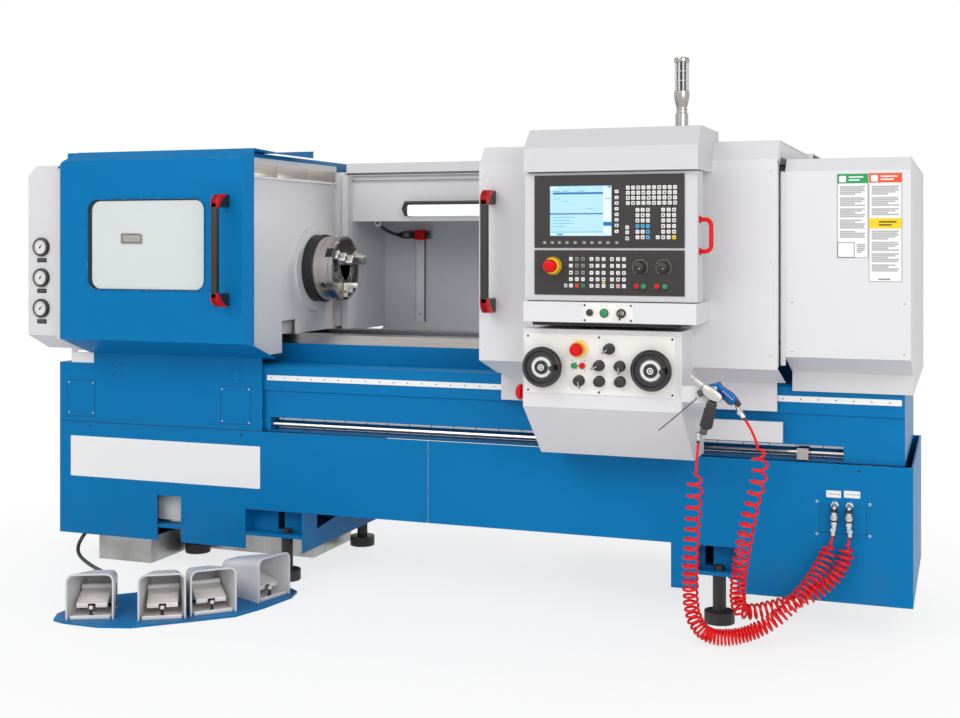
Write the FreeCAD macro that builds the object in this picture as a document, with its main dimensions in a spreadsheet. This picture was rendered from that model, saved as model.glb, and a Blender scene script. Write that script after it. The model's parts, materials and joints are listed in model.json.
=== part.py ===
import FreeCAD, Part
import math
import os
import Sketcher

# A flat-bed turning lathe, in millimetres. X runs along the bed from the headstock (-X) to the
# tailstock (+X), -Y is the operator's side and Z is up. The origin is on the floor, at the middle
# of the machine's length and depth.

DIMENSIONS = {
    # welded base and its two pedestals
    "base_left": -1562.0,
    "base_right": 1615.0,
    "base_front": -140.0,
    "base_rear": 600.0,
    "base_top": 545.0,
    "base_bottom": 110.0,
    "skirt_bottom": 257.0,
    "seam_x": -6.0,
    "seam_gap": 3.0,
    "left_pedestal_inner": -495.0,
    "right_pedestal_inner": 858.0,
    "plate_wall": 6.0,
    "notch_left": -1117.0,
    "notch_right": -1012.0,
    "notch_top": 281.0,
    "foot_shelf": 158.0,
    "left_bay_left": -736.0,
    "right_bay_left": 945.0,
    "right_bay_right": 1074.0,
    "bay_slot_width": 28.0,
    "bay_depth": 62.0,
    # bed casting
    "bed_left": -1400.0,
    "bed_right": 1590.0,
    "bed_face": -120.0,
    "bed_lip": 8.0,
    "lip_bottom": 697.0,
    "ledge_top": 788.0,
    "way_top": 891.0,
    "way_front": 60.0,
    "way_width": 90.0,
    "way_span": 400.0,
    "bed_rear_foot": 560.0,
    "bed_rear_shelf": 648.0,
    "trough_depth": 70.0,
    "chip_window_length": 200.0,
    "chip_window_width": 150.0,
    "chip_window_pitch": 290.0,
    "chip_window_first": -560.0,
    "chip_window_count": 7.0,
    "rod_slot_left": -640.0,
    "rod_slot_right": 1405.0,
    "rod_slot_drop": 20.0,
    "rod_slot_height": 48.0,
    "rod_slot_depth": 60.0,
    "rod_radius": 9.0,
    "rod_height": 570.0,
    "dog_x": 1262.0,
    "dog_length": 36.0,
    "dog_size": 36.0,
    "strip_bottom": 734.0,
    "strip_height": 19.0,
    "strip_left": -648.0,
    "strip_right": 1581.0,
    "strip_thick": 5.0,
    # headstock
    "axis_y": 260.0,
    "axis_z": 1139.0,
    "cover_wall": 3.0,
    "box_right": -665.0,
    "box_step_x": -1404.0,
    "box_step_top": 774.0,
    "box_rear": 660.0,
    "housing_left": -1395.0,
    "housing_right": -690.0,
    "housing_top": 1400.0,
    "housing_shoulder": 110.0,
    "spindle_left": -1468.0,
    "spindle_radius": 55.0,
    "spindle_bore": 40.0,
    "running_fit": 0.05,
    "flange_left": -666.0,
    "flange_radius": 129.0,
    "chuck_left": -624.0,
    "chuck_length": 104.0,
    "chuck_radius": 125.0,
    "jaw_width": 34.0,
    "jaw_slot_depth": 30.0,
    "jaw_inner": 56.0,
    "jaw_outer": 112.0,
    "jaw_height": 60.0,
    "body_gap": 0.3,
    "inner_cover_left": -1478.0,
    "inner_cover_front": -270.0,
    "inner_cover_top": 1564.0,
    "inner_cover_bottom": 822.0,
    "inner_cover_rear": 640.0,
    "wall_left": -662.0,
    "wall_thick": 6.0,
    "wall_front": -269.0,
    "wall_top": 1550.0,
    "wall_rear": 455.0,
    "nose_ring_radius": 172.0,
    "nose_ring_depth": 12.0,
    "end_left": -1615.0,
    "end_front": -260.0,
    "end_top": 1533.0,
    "end_front_bottom": 886.0,
    "end_bottom": 829.0,
    "end_chamfer": 38.0,
    "gauge_x": -1552.0,
    "gauge_top_z": 1223.0,
    "gauge_pitch": 117.0,
    "gauge_radius": 34.0,
    "gauge_depth": 14.0,
    # rear enclosure
    "rear_left": -613.0,
    "valance_front": 470.0,
    "valance_bottom": 1326.0,
    "valance_top": 1488.0,
    "rail_front": 460.0,
    "rail_bottom": 1512.0,
    "rail_top": 1562.0,
    "enclosure_rear": 860.0,
    "enclosure_bottom": 742.0,
    "rear_wall": 830.0,
    "rear_wall_bottom": 878.0,
    "chute_top": 800.0,
    "post_front": 420.0,
    "post_rear": 510.0,
    "post_width": 24.0,
    "lamp_left": -352.0,
    "lamp_length": 400.0,
    "lamp_bottom": 1345.0,
    "lamp_height": 60.0,
    "lamp_depth": 46.0,
    "switch_post_left": -455.0,
    "switch_post_width": 34.0,
    "switch_post_bottom": 898.0,
    "switch_z": 1272.0,
    "switch_left": -511.0,
    "switch_length": 126.0,
    "switch_height": 42.0,
    "switch_depth": 40.0,
    # right cabinet
    "cabinet_left": 1249.0,
    "cabinet_front": -318.0,
    "cabinet_fold_top": 893.0,
    "cabinet_fold_bottom": 832.0,
    "cabinet_bottom": 770.0,
    "cabinet_top": 1499.0,
    "cabinet_wall": 4.0,
    # sliding door
    "door_left": -1422.0,
    "door_right": -613.0,
    "door_front": -320.0,
    "door_bottom": 815.0,
    "door_fold_top": 880.0,
    "door_bevel_bottom": 1545.0,
    "door_ridge_y": -285.0,
    "door_ridge_z": 1578.0,
    "door_roof_y": -114.0,
    "door_roof_z": 1572.0,
    "door_rear": 169.0,
    "door_rear_z": 1594.0,
    "door_wall": 4.0,
    "window_left": -1301.0,
    "window_right": -795.0,
    "window_bottom": 1064.0,
    "window_top": 1402.0,
    "window_corner": 42.0,
    "glass_thick": 5.0,
    "glass_overlap": 12.0,
    "grip_length": 398.0,
    "grip_bottom": 1014.0,
    "grip_width": 26.0,
    "grip_stand": 88.0,
    "grip_bar": 20.0,
    "grip_foot": 50.0,
    "door_grip_x": -719.0,
    "guard_grip_x": 300.0,
    # carriage, saddle and slides
    "guard_left": 266.0,
    "guard_right": 1231.0,
    "guard_front": -355.0,
    "guard_fold_top": 855.0,
    "guard_bottom": 797.0,
    "guard_bevel_bottom": 1495.0,
    "guard_ridge_y": -300.0,
    "guard_ridge_z": 1557.0,
    "guard_rear": 440.0,
    "guard_wall": 4.0,
    "saddle_left": 300.0,
    "saddle_right": 960.0,
    "saddle_front": -158.0,
    "saddle_overhang": 22.0,
    "saddle_bottom": 704.0,
    "saddle_top": 950.0,
    "saddle_wall": 18.0,
    "saddle_plate_left": 274.0,
    "saddle_plate_right": 1203.0,
    "cross_left": 480.0,
    "cross_right": 740.0,
    "cross_front": -120.0,
    "cross_length": 440.0,
    "cross_height": 60.0,
    "turret_left": 412.0,
    "turret_disc": 62.0,
    "turret_y": -10.0,
    "turret_radius": 120.0,
    "turret_housing": 260.0,
    "tool_reach": 168.0,
    "tool_size": 25.0,
    # operator station
    "hood_left": 495.0,
    "hood_right": 1032.0,
    "hood_front": -582.0,
    "hood_bottom": 1458.0,
    "hood_bevel_bottom": 1530.0,
    "hood_ridge_y": -520.0,
    "hood_ridge_z": 1591.0,
    "hood_rear": -240.0,
    "panel_left": 490.0,
    "panel_right": 1025.0,
    "panel_front": -553.0,
    "panel_rear": -470.0,
    "panel_bottom": 1065.0,
    "panel_top": 1455.0,
    "pivot_inset": 26.0,
    "pivot_radius": 14.0,
    "shelf_front": -570.0,
    "shelf_bottom": 1000.0,
    "shelf_top": 1062.0,
    "black_left": 522.0,
    "black_right": 987.0,
    "black_split": 1226.0,
    "black_gap": 7.0,
    "black_top": 1447.0,
    "black_bottom": 1083.0,
    "black_thick": 4.0,
    "screen_left": 571.0,
    "screen_right": 766.0,
    "screen_bottom": 1262.0,
    "screen_top": 1415.0,
    "screen_recess": 1.5,
    "apron_left": 469.0,
    "apron_right": 970.0,
    "apron_front": -510.0,
    "apron_top": 975.0,
    "apron_knee": 732.0,
    "apron_bottom": 560.0,
    "apron_foot": -320.0,
    "foot_plate_right": 1221.0,
    "foot_plate_bottom": 605.0,
    "foot_plate_top": 671.0,
    "foot_plate_thick": 12.0,
    "control_left": 477.0,
    "control_right": 950.0,
    "control_bottom": 776.0,
    "control_top": 960.0,
    "wheel_left_x": 543.0,
    "wheel_right_x": 884.0,
    "wheel_z": 859.0,
    "wheel_radius": 63.0,
    "wheel_rim": 26.0,
    "wheel_gap": 20.0,
    "wheel_hub": 24.0,
    "knob_radius": 15.0,
    "knob_height": 22.0,
    "stop_radius": 20.5,
    "stop_collar": 27.5,
    "stop_neck": 13.0,
    "stop_height": 30.0,
    "panel_stop_x": 581.0,
    "panel_stop_z": 1171.0,
    "apron_stop_x": 652.0,
    "apron_stop_z": 915.0,
    "beacon_x": 945.0,
    "beacon_y": -390.0,
    "beacon_base": 20.0,
    "beacon_head": 24.0,
    "beacon_height": 223.0,
    "u_handle_low": 1209.0,
    "u_handle_high": 1318.0,
    "u_handle_reach": 42.0,
    "u_handle_bar": 13.0,
    # tailstock
    "tail_left": 1275.0,
    "tail_length": 270.0,
    "tail_width": 380.0,
    "tail_base": 70.0,
    "tail_body": 150.0,
    "tail_top": 85.0,
    "quill_radius": 30.0,
    "quill_reach": 60.0,
    # drive, coolant, electrics
    "motor_left": -1380.0,
    "motor_length": 380.0,
    "motor_size": 210.0,
    "motor_y": 420.0,
    "tank_left": -1430.0,
    "tank_right": -640.0,
    "tank_front": 225.0,
    "tank_lobe_front": -70.0,
    "tank_lobe_right": -1190.0,
    "tank_rear": 560.0,
    "tank_height": 100.0,
    "electric_left": 300.0,
    "electric_right": 1180.0,
    "electric_bottom": 150.0,
    "electric_rear": 842.0,
    "electric_door": 16.0,
    "hinge_radius": 7.0,
    # levelling feet
    "foot_radius": 50.0,
    "foot_height": 38.0,
    "foot_stem": 22.0,
    "shelf_plate": 12.0,
    # pneumatics
    "coupling_left_x": 1383.0,
    "coupling_pitch": 39.0,
    "coupling_top": 425.0,
    "coupling_bottom": 348.0,
    "coupling_radius": 11.0,
    "coupling_stand": 26.0,
    "hose_coil": 46.0,
    # foot pedals
    "pedal_plate_thick": 8.0,
    "pedal_width": 155.0,
    "pedal_rear_width": 104.0,
    "pedal_length": 205.0,
    "pedal_front_height": 150.0,
    "pedal_rear_height": 112.0,
    "pedal_wall": 6.0,
    "treadle_length": 95.0,
    "treadle_thick": 8.0,
    "treadle_tilt": 16.0,
    "pedal_cable": 14.0,
    # remaining fits and details
    "bay_top": 256.0,
    "left_slot_inset": 104.0,
    "right_slot_inset": 14.0,
    "slot_margin": 6.0,
    "brace_front": -31.0,
    "brace_length": 227.0,
    "brace_low": 178.0,
    "brace_tip": 200.0,
    "brace_high": 238.0,
    "shelf_crest": 800.0,
    "shelf_fall": 10.0,
    "shelf_underside": 700.0,
    "box_lid_end": 50.0,
    "jaw_step": 22.0,
    "inner_cover_fold": 873.0,
    "inner_cover_fold_end": -130.0,
    "inner_bevel": 45.0,
    "roof_fall": 12.0,
    "bar_hole_radius": 45.0,
    "wall_fold": 876.0,
    "wall_fold_end": -125.0,
    "wall_low": 824.0,
    "wall_cut_front": -5.0,
    "wall_cut_rear": 106.0,
    "wall_cut_top": 945.0,
    "wall_bevel": 45.0,
    "nose_gap": 3.0,
    "lip_left": -1507.0,
    "lip_gap": 0.5,
    "pin_margin": 2.8,
    "blue_gun_y": -492.0,
    "lip_overlap": 10.0,
    "rail_step": 22.0,
    "rod_inset": 20.0,
    "cabinet_bevel": 40.0,
    "mount_plate_inset": 40.0,
    "door_corner": 72.0,
    "door_corner_drop": 59.0,
    "door_edge": 27.0,
    "grip_bevel": 30.0,
    "grip_round": 7.0,
    "keeper_drop": 50.0,
    "saddle_plate": 10.0,
    "turret_trim": 9.0,
    "u_handle_shift": 10.0,
    "collar_height": 12.0,
    "button_radius": 8.0,
    "button_height": 8.0,
    "wheel_shaft": 12.0,
    "foot_plate_lap": 40.0,
    "gun_y": -530.0,
    "bracket_reach": 105.0,
    "bracket_z": 765.0,
    "bracket_height": 50.0,
    "guard_fold_end": -172.0,
    "door_clip_depth": 45.0,
    "nut_radius": 18.2,
    "nut_height": 16.0,
    "bracket_thick": 8.0,
    "crank_offset": 0.62,
    "crank_radius": 8.0,
    "crank_length": 40.0,
    "stop_travel": 6.0,
    "beacon_lens": 110.0,
    "treadle_width": 100.0,
    "treadle_start": 38.0,
    "treadle_low": 38.0,
    "cable_x": -500.0,
    "cable_y": 520.0,
    "cable_drop": 60.0,
    "cable_loop": 40.0,
}

FULL_TURN = 360.0
BEND_SHARE = 0.45
JAW_COUNT = 3
GAUGE_COUNT = 3
HOSE_COUNT = 2
TOOL_COUNT = 8
RING_SIDES = 16

# levelling feet, as X and Y on the floor
FEET = [
    (-582.0, -100.0),
    (-1127.0, 161.0),
    (-1500.0, 500.0),
    (-560.0, 500.0),
    (1010.0, -100.0),
    (985.0, 500.0),
    (1540.0, 450.0),
]

# foot pedals, as the middle of each open front on the floor and the turn about Z
PEDALS = [
    (-923.0, -814.0, 25.0),
    (-701.0, -732.0, 31.0),
    (-578.0, -615.0, 44.0),
    (-482.0, -375.0, 75.0),
]
PEDAL_PLATE = [
    (-1070.0, -790.0),
    (-1040.0, -846.0),
    (-990.0, -860.0),
    (-860.0, -860.0),
    (-755.0, -828.0),
    (-625.0, -712.0),
    (-505.0, -600.0),
    (-466.0, -480.0),
    (-440.0, -330.0),
    (-455.0, -262.0),
    (-520.0, -215.0),
    (-700.0, -215.0),
    (-1070.0, -560.0),
]

# round controls, as X and Z on their plates
PANEL_DIALS = [(853.0, 1169.0), (924.0, 1169.0)]
PANEL_BUTTONS = [(841.0, 1108.0), (862.0, 1108.0), (903.0, 1108.0), (927.0, 1108.0)]
APRON_KNOBS = [
    (748.0, 918.0),
    (716.0, 866.0),
    (781.0, 866.0),
    (653.0, 818.0),
    (717.0, 818.0),
    (782.0, 819.0),
]
APRON_BUTTONS = [(638.0, 863.0), (663.0, 864.0)]

# air guns, as front outlines in X and Z with the depth of each piece
SILVER_GUN = [
    ([(1026, 814), (1088, 766), (1104, 786), (1042, 834)], 30.0),
    ([(1037, 800), (1013, 683), (1037, 683), (1064, 790)], 22.0),
    ([(1045, 809), (908, 678), (902, 684), (1039, 815)], 9.0),
]
BLUE_GUN = [
    ([(1051, 812), (1113, 752), (1131, 770), (1069, 830)], 30.0),
    ([(1108, 768), (1126, 740), (1143, 750.5), (1125, 779)], 22.0),
]

# cords, as the corners of their bent paths
PEDAL_CABLE = [
    (-1009.9, -627.6, 50.0),
    (-1095.0, -445.0, 44.0),
    (-1370.0, -222.0, 16.0),
    (-1478.0, -155.0, 42.0),
    (-1472.0, -108.0, 106.0),
    (-1420.0, -100.0, 152.2),
]
HOSE_1 = [
    (1025.0, -530.0, 679.0),
    (980.0, -450.0, 290.0),
    (975.0, -385.0, 40.0),
    (1120.0, -345.0, 27.0),
    (1260.0, -300.0, 110.0),
    (1377.0, -166.0, 275.0),
    (1377.0, -166.0, 347.5),
]
HOSE_2 = [
    (1136.4, -492.0, 742.8),
    (1220.0, -485.0, 640.0),
    (1150.0, -430.0, 400.0),
    (1098.0, -330.0, 140.0),
    (1124.0, -285.0, 75.0),
    (1424.0, -170.0, 180.0),
    (1428.0, -166.0, 346.5),
]

doc = FreeCAD.newDocument("TurningLathe")
nodes = []


class Size:
    """A length kept as a number and as the spreadsheet expression that drives it."""

    def __init__(self, value, text):
        self.value = value
        self.text = text

    def __add__(self, other):
        return Size(self.value + number(other), f"({self.text} + {words(other)})")

    def __radd__(self, other):
        return Size(number(other) + self.value, f"({words(other)} + {self.text})")

    def __sub__(self, other):
        return Size(self.value - number(other), f"({self.text} - {words(other)})")

    def __rsub__(self, other):
        return Size(number(other) - self.value, f"({words(other)} - {self.text})")

    def __mul__(self, other):
        return Size(self.value * number(other), f"({self.text} * {words(other)})")

    def __rmul__(self, other):
        return Size(number(other) * self.value, f"({words(other)} * {self.text})")

    def __truediv__(self, other):
        return Size(self.value / number(other), f"({self.text} / {words(other)})")

    def __neg__(self):
        return Size(-self.value, f"(0 - {self.text})")


def number(size):
    return size.value if isinstance(size, Size) else float(size)


def words(size):
    return size.text if isinstance(size, Size) else f"({float(size)!r})"


def fill_sheet():
    """Writes every driving dimension into the sheet as a named plain number."""
    sheet = doc.addObject("Spreadsheet::Sheet", "Sizes")
    for row, (alias, value) in enumerate(DIMENSIONS.items(), start=1):
        sheet.set(f"A{row}", alias)
        sheet.set(f"B{row}", str(value))
        sheet.setAlias(f"B{row}", alias)
    doc.recompute()


class Sheet:
    """Gives each driving dimension by its name."""

    def __getattr__(self, alias):
        return Size(DIMENSIONS[alias], f"Sizes.{alias}")


D = Sheet()
fill_sheet()


def bind(thing, prop, size):
    """Sets a property to a plain number, or ties it to the sheet."""
    thing.setExpression(prop, words(size))


def place(thing, x, y, z, axis=None, angle=0.0):
    """Puts an object's own origin at a point, turned about an axis by an angle in degrees."""
    turn = FreeCAD.Rotation(FreeCAD.Vector(*(axis or (0, 0, 1))), number(angle))
    thing.Placement = FreeCAD.Placement(FreeCAD.Vector(number(x), number(y), number(z)), turn)
    bind(thing, "Placement.Base.x", x)
    bind(thing, "Placement.Base.y", y)
    bind(thing, "Placement.Base.z", z)


def node(thing, label):
    """Marks an object as one finished sub-part."""
    thing.Label = label
    nodes.append(thing)
    return thing


def new_body(name):
    return doc.addObject("PartDesign::Body", name)


def new_sketch(body, name, plane, offset):
    """An empty sketch on one of the body's own origin planes, moved along the plane's normal."""
    sketch = body.newObject("Sketcher::SketchObject", name)
    base = [f for f in body.Origin.OriginFeatures if f.Role == f"{plane}_Plane"][0]
    sketch.AttachmentSupport = [(base, "")]
    sketch.MapMode = "FlatFace"
    bind(sketch, "AttachmentOffset.Base.z", offset)
    return sketch


def add_polygon(sketch, points):
    """A closed polygon in a sketch, each corner held by its two distances from the origin."""
    first = sketch.GeometryCount
    count = len(points)
    corners = [FreeCAD.Vector(number(u), number(v), 0) for u, v in points]
    for i in range(count):
        line = Part.LineSegment(corners[i], corners[(i + 1) % count])
        sketch.addGeometry(line, False)
    for i in range(count):
        following = first + (i + 1) % count
        sketch.addConstraint(Sketcher.Constraint("Coincident", first + i, 2, following, 1))
    for i, point in enumerate(points):
        for kind, size in zip(("DistanceX", "DistanceY"), point):
            rule = Sketcher.Constraint(kind, -1, 1, first + i, 1, number(size))
            index = sketch.addConstraint(rule)
            if isinstance(size, Size):
                sketch.setExpression(f"Constraints[{index}]", size.text)


def add_circle(sketch, u, v, radius):
    """A circle in a sketch, held by its centre and radius."""
    centre = FreeCAD.Vector(number(u), number(v), 0)
    circle = Part.Circle(centre, FreeCAD.Vector(0, 0, 1), number(radius))
    geometry = sketch.addGeometry(circle, False)
    for kind, size in zip(("DistanceX", "DistanceY"), (u, v)):
        index = sketch.addConstraint(
            Sketcher.Constraint(kind, -1, 1, geometry, 3, number(size))
        )
        sketch.setExpression(f"Constraints[{index}]", words(size))
    index = sketch.addConstraint(Sketcher.Constraint("Radius", geometry, number(radius)))
    sketch.setExpression(f"Constraints[{index}]", words(radius))


def outline(body, plane, polygons, offset=0.0, circles=()):
    """A sketch of closed polygons and circles on one of the body's planes."""
    sketch = new_sketch(body, f"{body.Name}_outline", plane, offset)
    for points in polygons:
        add_polygon(sketch, points)
    for u, v, radius in circles:
        add_circle(sketch, u, v, radius)
    return sketch


def pad(body, sketch, length, reverse=False):
    """Grows a sketch into a solid by a length along, or against, its plane's normal."""
    feature = body.newObject("PartDesign::Pad", f"{body.Name}_pad")
    feature.Profile = sketch
    feature.Reversed = reverse
    bind(feature, "Length", length)
    doc.recompute()
    return feature


def pocket(body, sketch, depth=None, reverse=False):
    """Cuts a sketch out of the body: to a depth, or through everything on both sides."""
    before = body.Shape.Volume
    feature = body.newObject("PartDesign::Pocket", f"{body.Name}_pocket")
    feature.Profile = sketch
    feature.Reversed = reverse
    if depth is None:
        feature.Type = "ThroughAll"
        feature.Midplane = True
    else:
        bind(feature, "Length", depth)
    doc.recompute()
    if body.Shape.Volume > before - 1.0:
        raise RuntimeError(f"{feature.Name} cuts nothing")
    return feature


def facing(shape, direction, near=None):
    """Names of the flat faces whose outward normal is a direction, optionally near one level."""
    wanted = FreeCAD.Vector(*direction)
    found = []
    for index, face in enumerate(shape.Faces, start=1):
        flat = face.Surface.TypeId == "Part::GeomPlane"
        if not flat or (face.normalAt(0, 0) - wanted).Length > 1e-4:
            continue
        if near is not None and abs(face.CenterOfMass.dot(wanted) - number(near)) > 0.5:
            continue
        found.append(f"Face{index}")
    return found


def shell(body, base, wall, faces):
    """Hollows a solid into sheet metal with the named faces left open."""
    feature = body.newObject("PartDesign::Thickness", f"{body.Name}_sheet")
    feature.Base = (base, faces)
    feature.Join = 1
    feature.Reversed = True
    bind(feature, "Value", wall)
    doc.recompute()
    return feature


def edges_along(shape, direction, points):
    """Names of the straight edges along a direction whose middle is near one of the points."""
    wanted = FreeCAD.Vector(*direction)
    found = []
    for index, edge in enumerate(shape.Edges, start=1):
        if edge.Curve.TypeId != "Part::GeomLine":
            continue
        if abs(abs(edge.tangentAt(edge.FirstParameter).dot(wanted)) - 1) > 1e-4:
            continue
        middle = edge.CenterOfMass
        flat = middle - wanted * middle.dot(wanted)
        for point in points:
            target = FreeCAD.Vector(*[number(c) for c in point])
            if (flat - (target - wanted * target.dot(wanted))).Length < 0.5:
                found.append(f"Edge{index}")
                break
    return found


def chamfer(body, base, edges, size):
    feature = body.newObject("PartDesign::Chamfer", f"{body.Name}_chamfer")
    feature.Base = (base, edges)
    bind(feature, "Size", size)
    doc.recompute()
    return feature


def fillet(body, base, edges, radius):
    feature = body.newObject("PartDesign::Fillet", f"{body.Name}_fillet")
    feature.Base = (base, edges)
    bind(feature, "Radius", radius)
    doc.recompute()
    return feature


def rectangle(left, low, right, high):
    """The four corners of an upright rectangle."""
    return [(left, low), (right, low), (right, high), (left, high)]


def box(name, low, high):
    """A rectangular block between two opposite corners."""
    block = doc.addObject("Part::Box", name)
    for prop, start, end in zip(("Length", "Width", "Height"), low, high):
        bind(block, prop, end - start)
    place(block, *low)
    return block


def cylinder(name, centre, radius, height, axis="Z"):
    """A round bar from the centre of its first end, along +X, -Y or +Z."""
    turns = {"X": ((0, 1, 0), 90.0), "-Y": ((1, 0, 0), 90.0), "Z": ((0, 0, 1), 0.0)}
    bar = doc.addObject("Part::Cylinder", name)
    bind(bar, "Radius", radius)
    bind(bar, "Height", height)
    place(bar, *centre, *turns[axis])
    return bar


def prism(name, sides, centre, radius, height, axis="Z"):
    """A regular many-sided bar from the centre of its first end, along +X, -Y or +Z."""
    turns = {"X": ((0, 1, 0), 90.0), "-Y": ((1, 0, 0), 90.0), "Z": ((0, 0, 1), 0.0)}
    bar = doc.addObject("Part::Prism", name)
    bar.Polygon = sides
    bind(bar, "Circumradius", radius)
    bind(bar, "Height", height)
    place(bar, *centre, *turns[axis])
    return bar


def fuse(name, pieces):
    """One solid from pieces that touch."""
    joined = doc.addObject("Part::MultiFuse", name)
    joined.Shapes = pieces
    joined.Refine = True
    return joined


def cut(name, base, tool):
    feature = doc.addObject("Part::Cut", name)
    feature.Base = base
    feature.Tool = tool
    feature.Refine = True
    return feature


def group(name, pieces):
    """Separate like pieces kept under one name."""
    feature = doc.addObject("Part::Compound", name)
    feature.Links = pieces
    return feature


def make_base(name, left, right, skirt_left, skirt_right, bay_left, bay_right):
    """Half of the welded base: a pedestal with a shelf and a foot bay, and its half of the skirt."""
    body = new_body(name)
    wall = D.plate_wall
    front = D.base_front + wall
    rear = D.base_rear - wall
    outer = rectangle(left, D.base_front, right, D.base_rear)
    inner = rectangle(left + wall, front, right - wall, rear)
    pad(body, outline(body, "XY", [outer, inner], D.base_bottom), D.base_top - D.base_bottom)
    skirt = rectangle(skirt_left, D.skirt_bottom, skirt_right, D.base_top)
    pad(body, outline(body, "XZ", [skirt], -front), wall)
    pad(body, outline(body, "XY", [inner], D.foot_shelf), D.shelf_plate)
    bay = rectangle(bay_left, D.base_bottom, bay_right, D.bay_top)
    pocket(body, outline(body, "XZ", [bay], -D.base_front), wall)
    floor = D.foot_shelf + D.shelf_plate
    back = D.base_front + D.bay_depth
    lining = [
        (bay_left - wall, front),
        (bay_left, front),
        (bay_left, back),
        (bay_right, back),
        (bay_right, front),
        (bay_right + wall, front),
        (bay_right + wall, back + wall),
        (bay_left - wall, back + wall),
    ]
    pad(body, outline(body, "XY", [lining], floor), D.bay_top - floor)
    roof = rectangle(bay_left - wall, front, bay_right + wall, back + wall)
    pad(body, outline(body, "XY", [roof], D.bay_top), wall)
    return body


def make_base_left():
    wall = D.plate_wall
    inner = D.left_pedestal_inner
    seam = D.seam_x - D.seam_gap / 2
    body = make_base(
        "base_left", D.base_left, inner, inner - wall, seam, D.left_bay_left, inner - wall
    )
    notch = rectangle(D.notch_left, D.base_bottom, D.notch_right, D.notch_top)
    pocket(body, outline(body, "XZ", [notch], -D.base_front), wall)
    slot_left = D.left_bay_left + D.left_slot_inset
    low = D.foot_shelf + D.shelf_plate + D.slot_margin
    slot = rectangle(slot_left, low, slot_left + D.bay_slot_width, D.bay_top - D.slot_margin)
    pocket(body, outline(body, "XZ", [slot], -(D.base_front + D.bay_depth)), wall)
    brace = [
        (D.brace_front, D.brace_low),
        (D.brace_front + D.brace_length, D.brace_tip),
        (D.brace_front, D.brace_high),
    ]
    pocket(body, outline(body, "YZ", [brace], inner), wall)
    node(body, "base_left")


def make_base_right():
    inner = D.right_pedestal_inner
    wall = D.plate_wall
    seam = D.seam_x + D.seam_gap / 2
    body = make_base(
        "base_right", inner, D.base_right, seam, inner + wall, D.right_bay_left, D.right_bay_right
    )
    slot_left = D.right_bay_left + D.right_slot_inset
    low = D.foot_shelf + D.shelf_plate + D.slot_margin
    slot = rectangle(slot_left, low, slot_left + D.bay_slot_width, D.bay_top - D.slot_margin)
    pocket(body, outline(body, "XZ", [slot], -(D.base_front + D.bay_depth)), wall)
    node(body, "base_right")


def make_bed():
    """One casting with its two ways, the rear chip shelf and a row of chip windows."""
    body = new_body("bed_casting")
    lip = D.bed_face - D.bed_lip
    inner_front = D.way_front + D.way_width
    rear_start = D.way_front + D.way_span - D.way_width
    rear_end = D.way_front + D.way_span
    section = [
        (D.bed_face, D.base_top),
        (D.bed_face, D.lip_bottom),
        (lip, D.lip_bottom),
        (lip, D.ledge_top - D.bed_lip),
        (D.bed_face, D.ledge_top),
        (D.way_front, D.ledge_top),
        (D.way_front, D.way_top),
        (inner_front, D.way_top),
        (inner_front, D.way_top - D.trough_depth),
        (rear_start, D.way_top - D.trough_depth),
        (rear_start, D.way_top),
        (rear_end, D.way_top),
        (rear_end, D.shelf_crest),
        (D.bed_rear_shelf, D.shelf_crest - D.shelf_fall),
        (D.bed_rear_shelf, D.shelf_underside),
        (D.bed_rear_foot, D.shelf_underside),
        (D.bed_rear_foot, D.base_top),
    ]
    pad(body, outline(body, "YZ", [section], D.bed_left), D.bed_right - D.bed_left)
    slot_bottom = D.rod_height - D.rod_slot_drop
    slot_top = slot_bottom + D.rod_slot_height
    recess = rectangle(D.rod_slot_left, slot_bottom, D.rod_slot_right, slot_top)
    pocket(body, outline(body, "XZ", [recess], -D.bed_face), D.rod_slot_depth)
    middle = D.way_front + D.way_span / 2
    windows = []
    for i in range(int(number(D.chip_window_count))):
        start = D.chip_window_first + i * D.chip_window_pitch
        windows.append(
            rectangle(
                start,
                middle - D.chip_window_width / 2,
                start + D.chip_window_length,
                middle + D.chip_window_width / 2,
            )
        )
    pocket(body, outline(body, "XY", windows, D.way_top), D.way_top - D.base_top)
    node(body, "bed_casting")


def make_headstock_base_cover():
    body = new_body("headstock_base_cover")
    side = [
        (D.base_left, D.base_top),
        (D.box_right, D.base_top),
        (D.box_right, (D.door_bottom - D.body_gap)),
        (D.box_step_x, (D.door_bottom - D.body_gap)),
        (D.box_step_x, D.box_step_top),
        (D.base_left, D.box_step_top),
    ]
    solid = pad(body, outline(body, "XZ", [side], -D.box_rear), D.box_rear - D.base_front)
    faces = facing(solid.Shape, (0, 0, -1)) + facing(solid.Shape, (1, 0, 0))
    shell(body, solid, D.cover_wall, faces + facing(solid.Shape, (0, 1, 0)))
    rear = rectangle(D.base_left, D.box_lid_end, D.box_right, D.box_rear)
    drop = (D.door_bottom - D.body_gap) - D.box_step_top + 2 * D.cover_wall
    pocket(body, outline(body, "XY", [rear], (D.door_bottom - D.body_gap)), drop)
    node(body, "headstock_base_cover")


def make_headstock_housing():
    body = new_body("headstock_housing")
    front = D.way_front
    rear = D.way_front + D.way_span
    top = D.housing_top
    shoulder = D.housing_shoulder
    section = [
        (front, D.way_top),
        (rear, D.way_top),
        (rear, top - shoulder),
        (rear - shoulder, top),
        (front + shoulder, top),
        (front, top - shoulder),
    ]
    bore = (D.axis_y, D.axis_z, D.spindle_radius + D.running_fit)
    sketch = outline(body, "YZ", [section], D.housing_left, [bore])
    pad(body, sketch, D.housing_right - D.housing_left)
    node(body, "headstock_housing")


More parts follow.
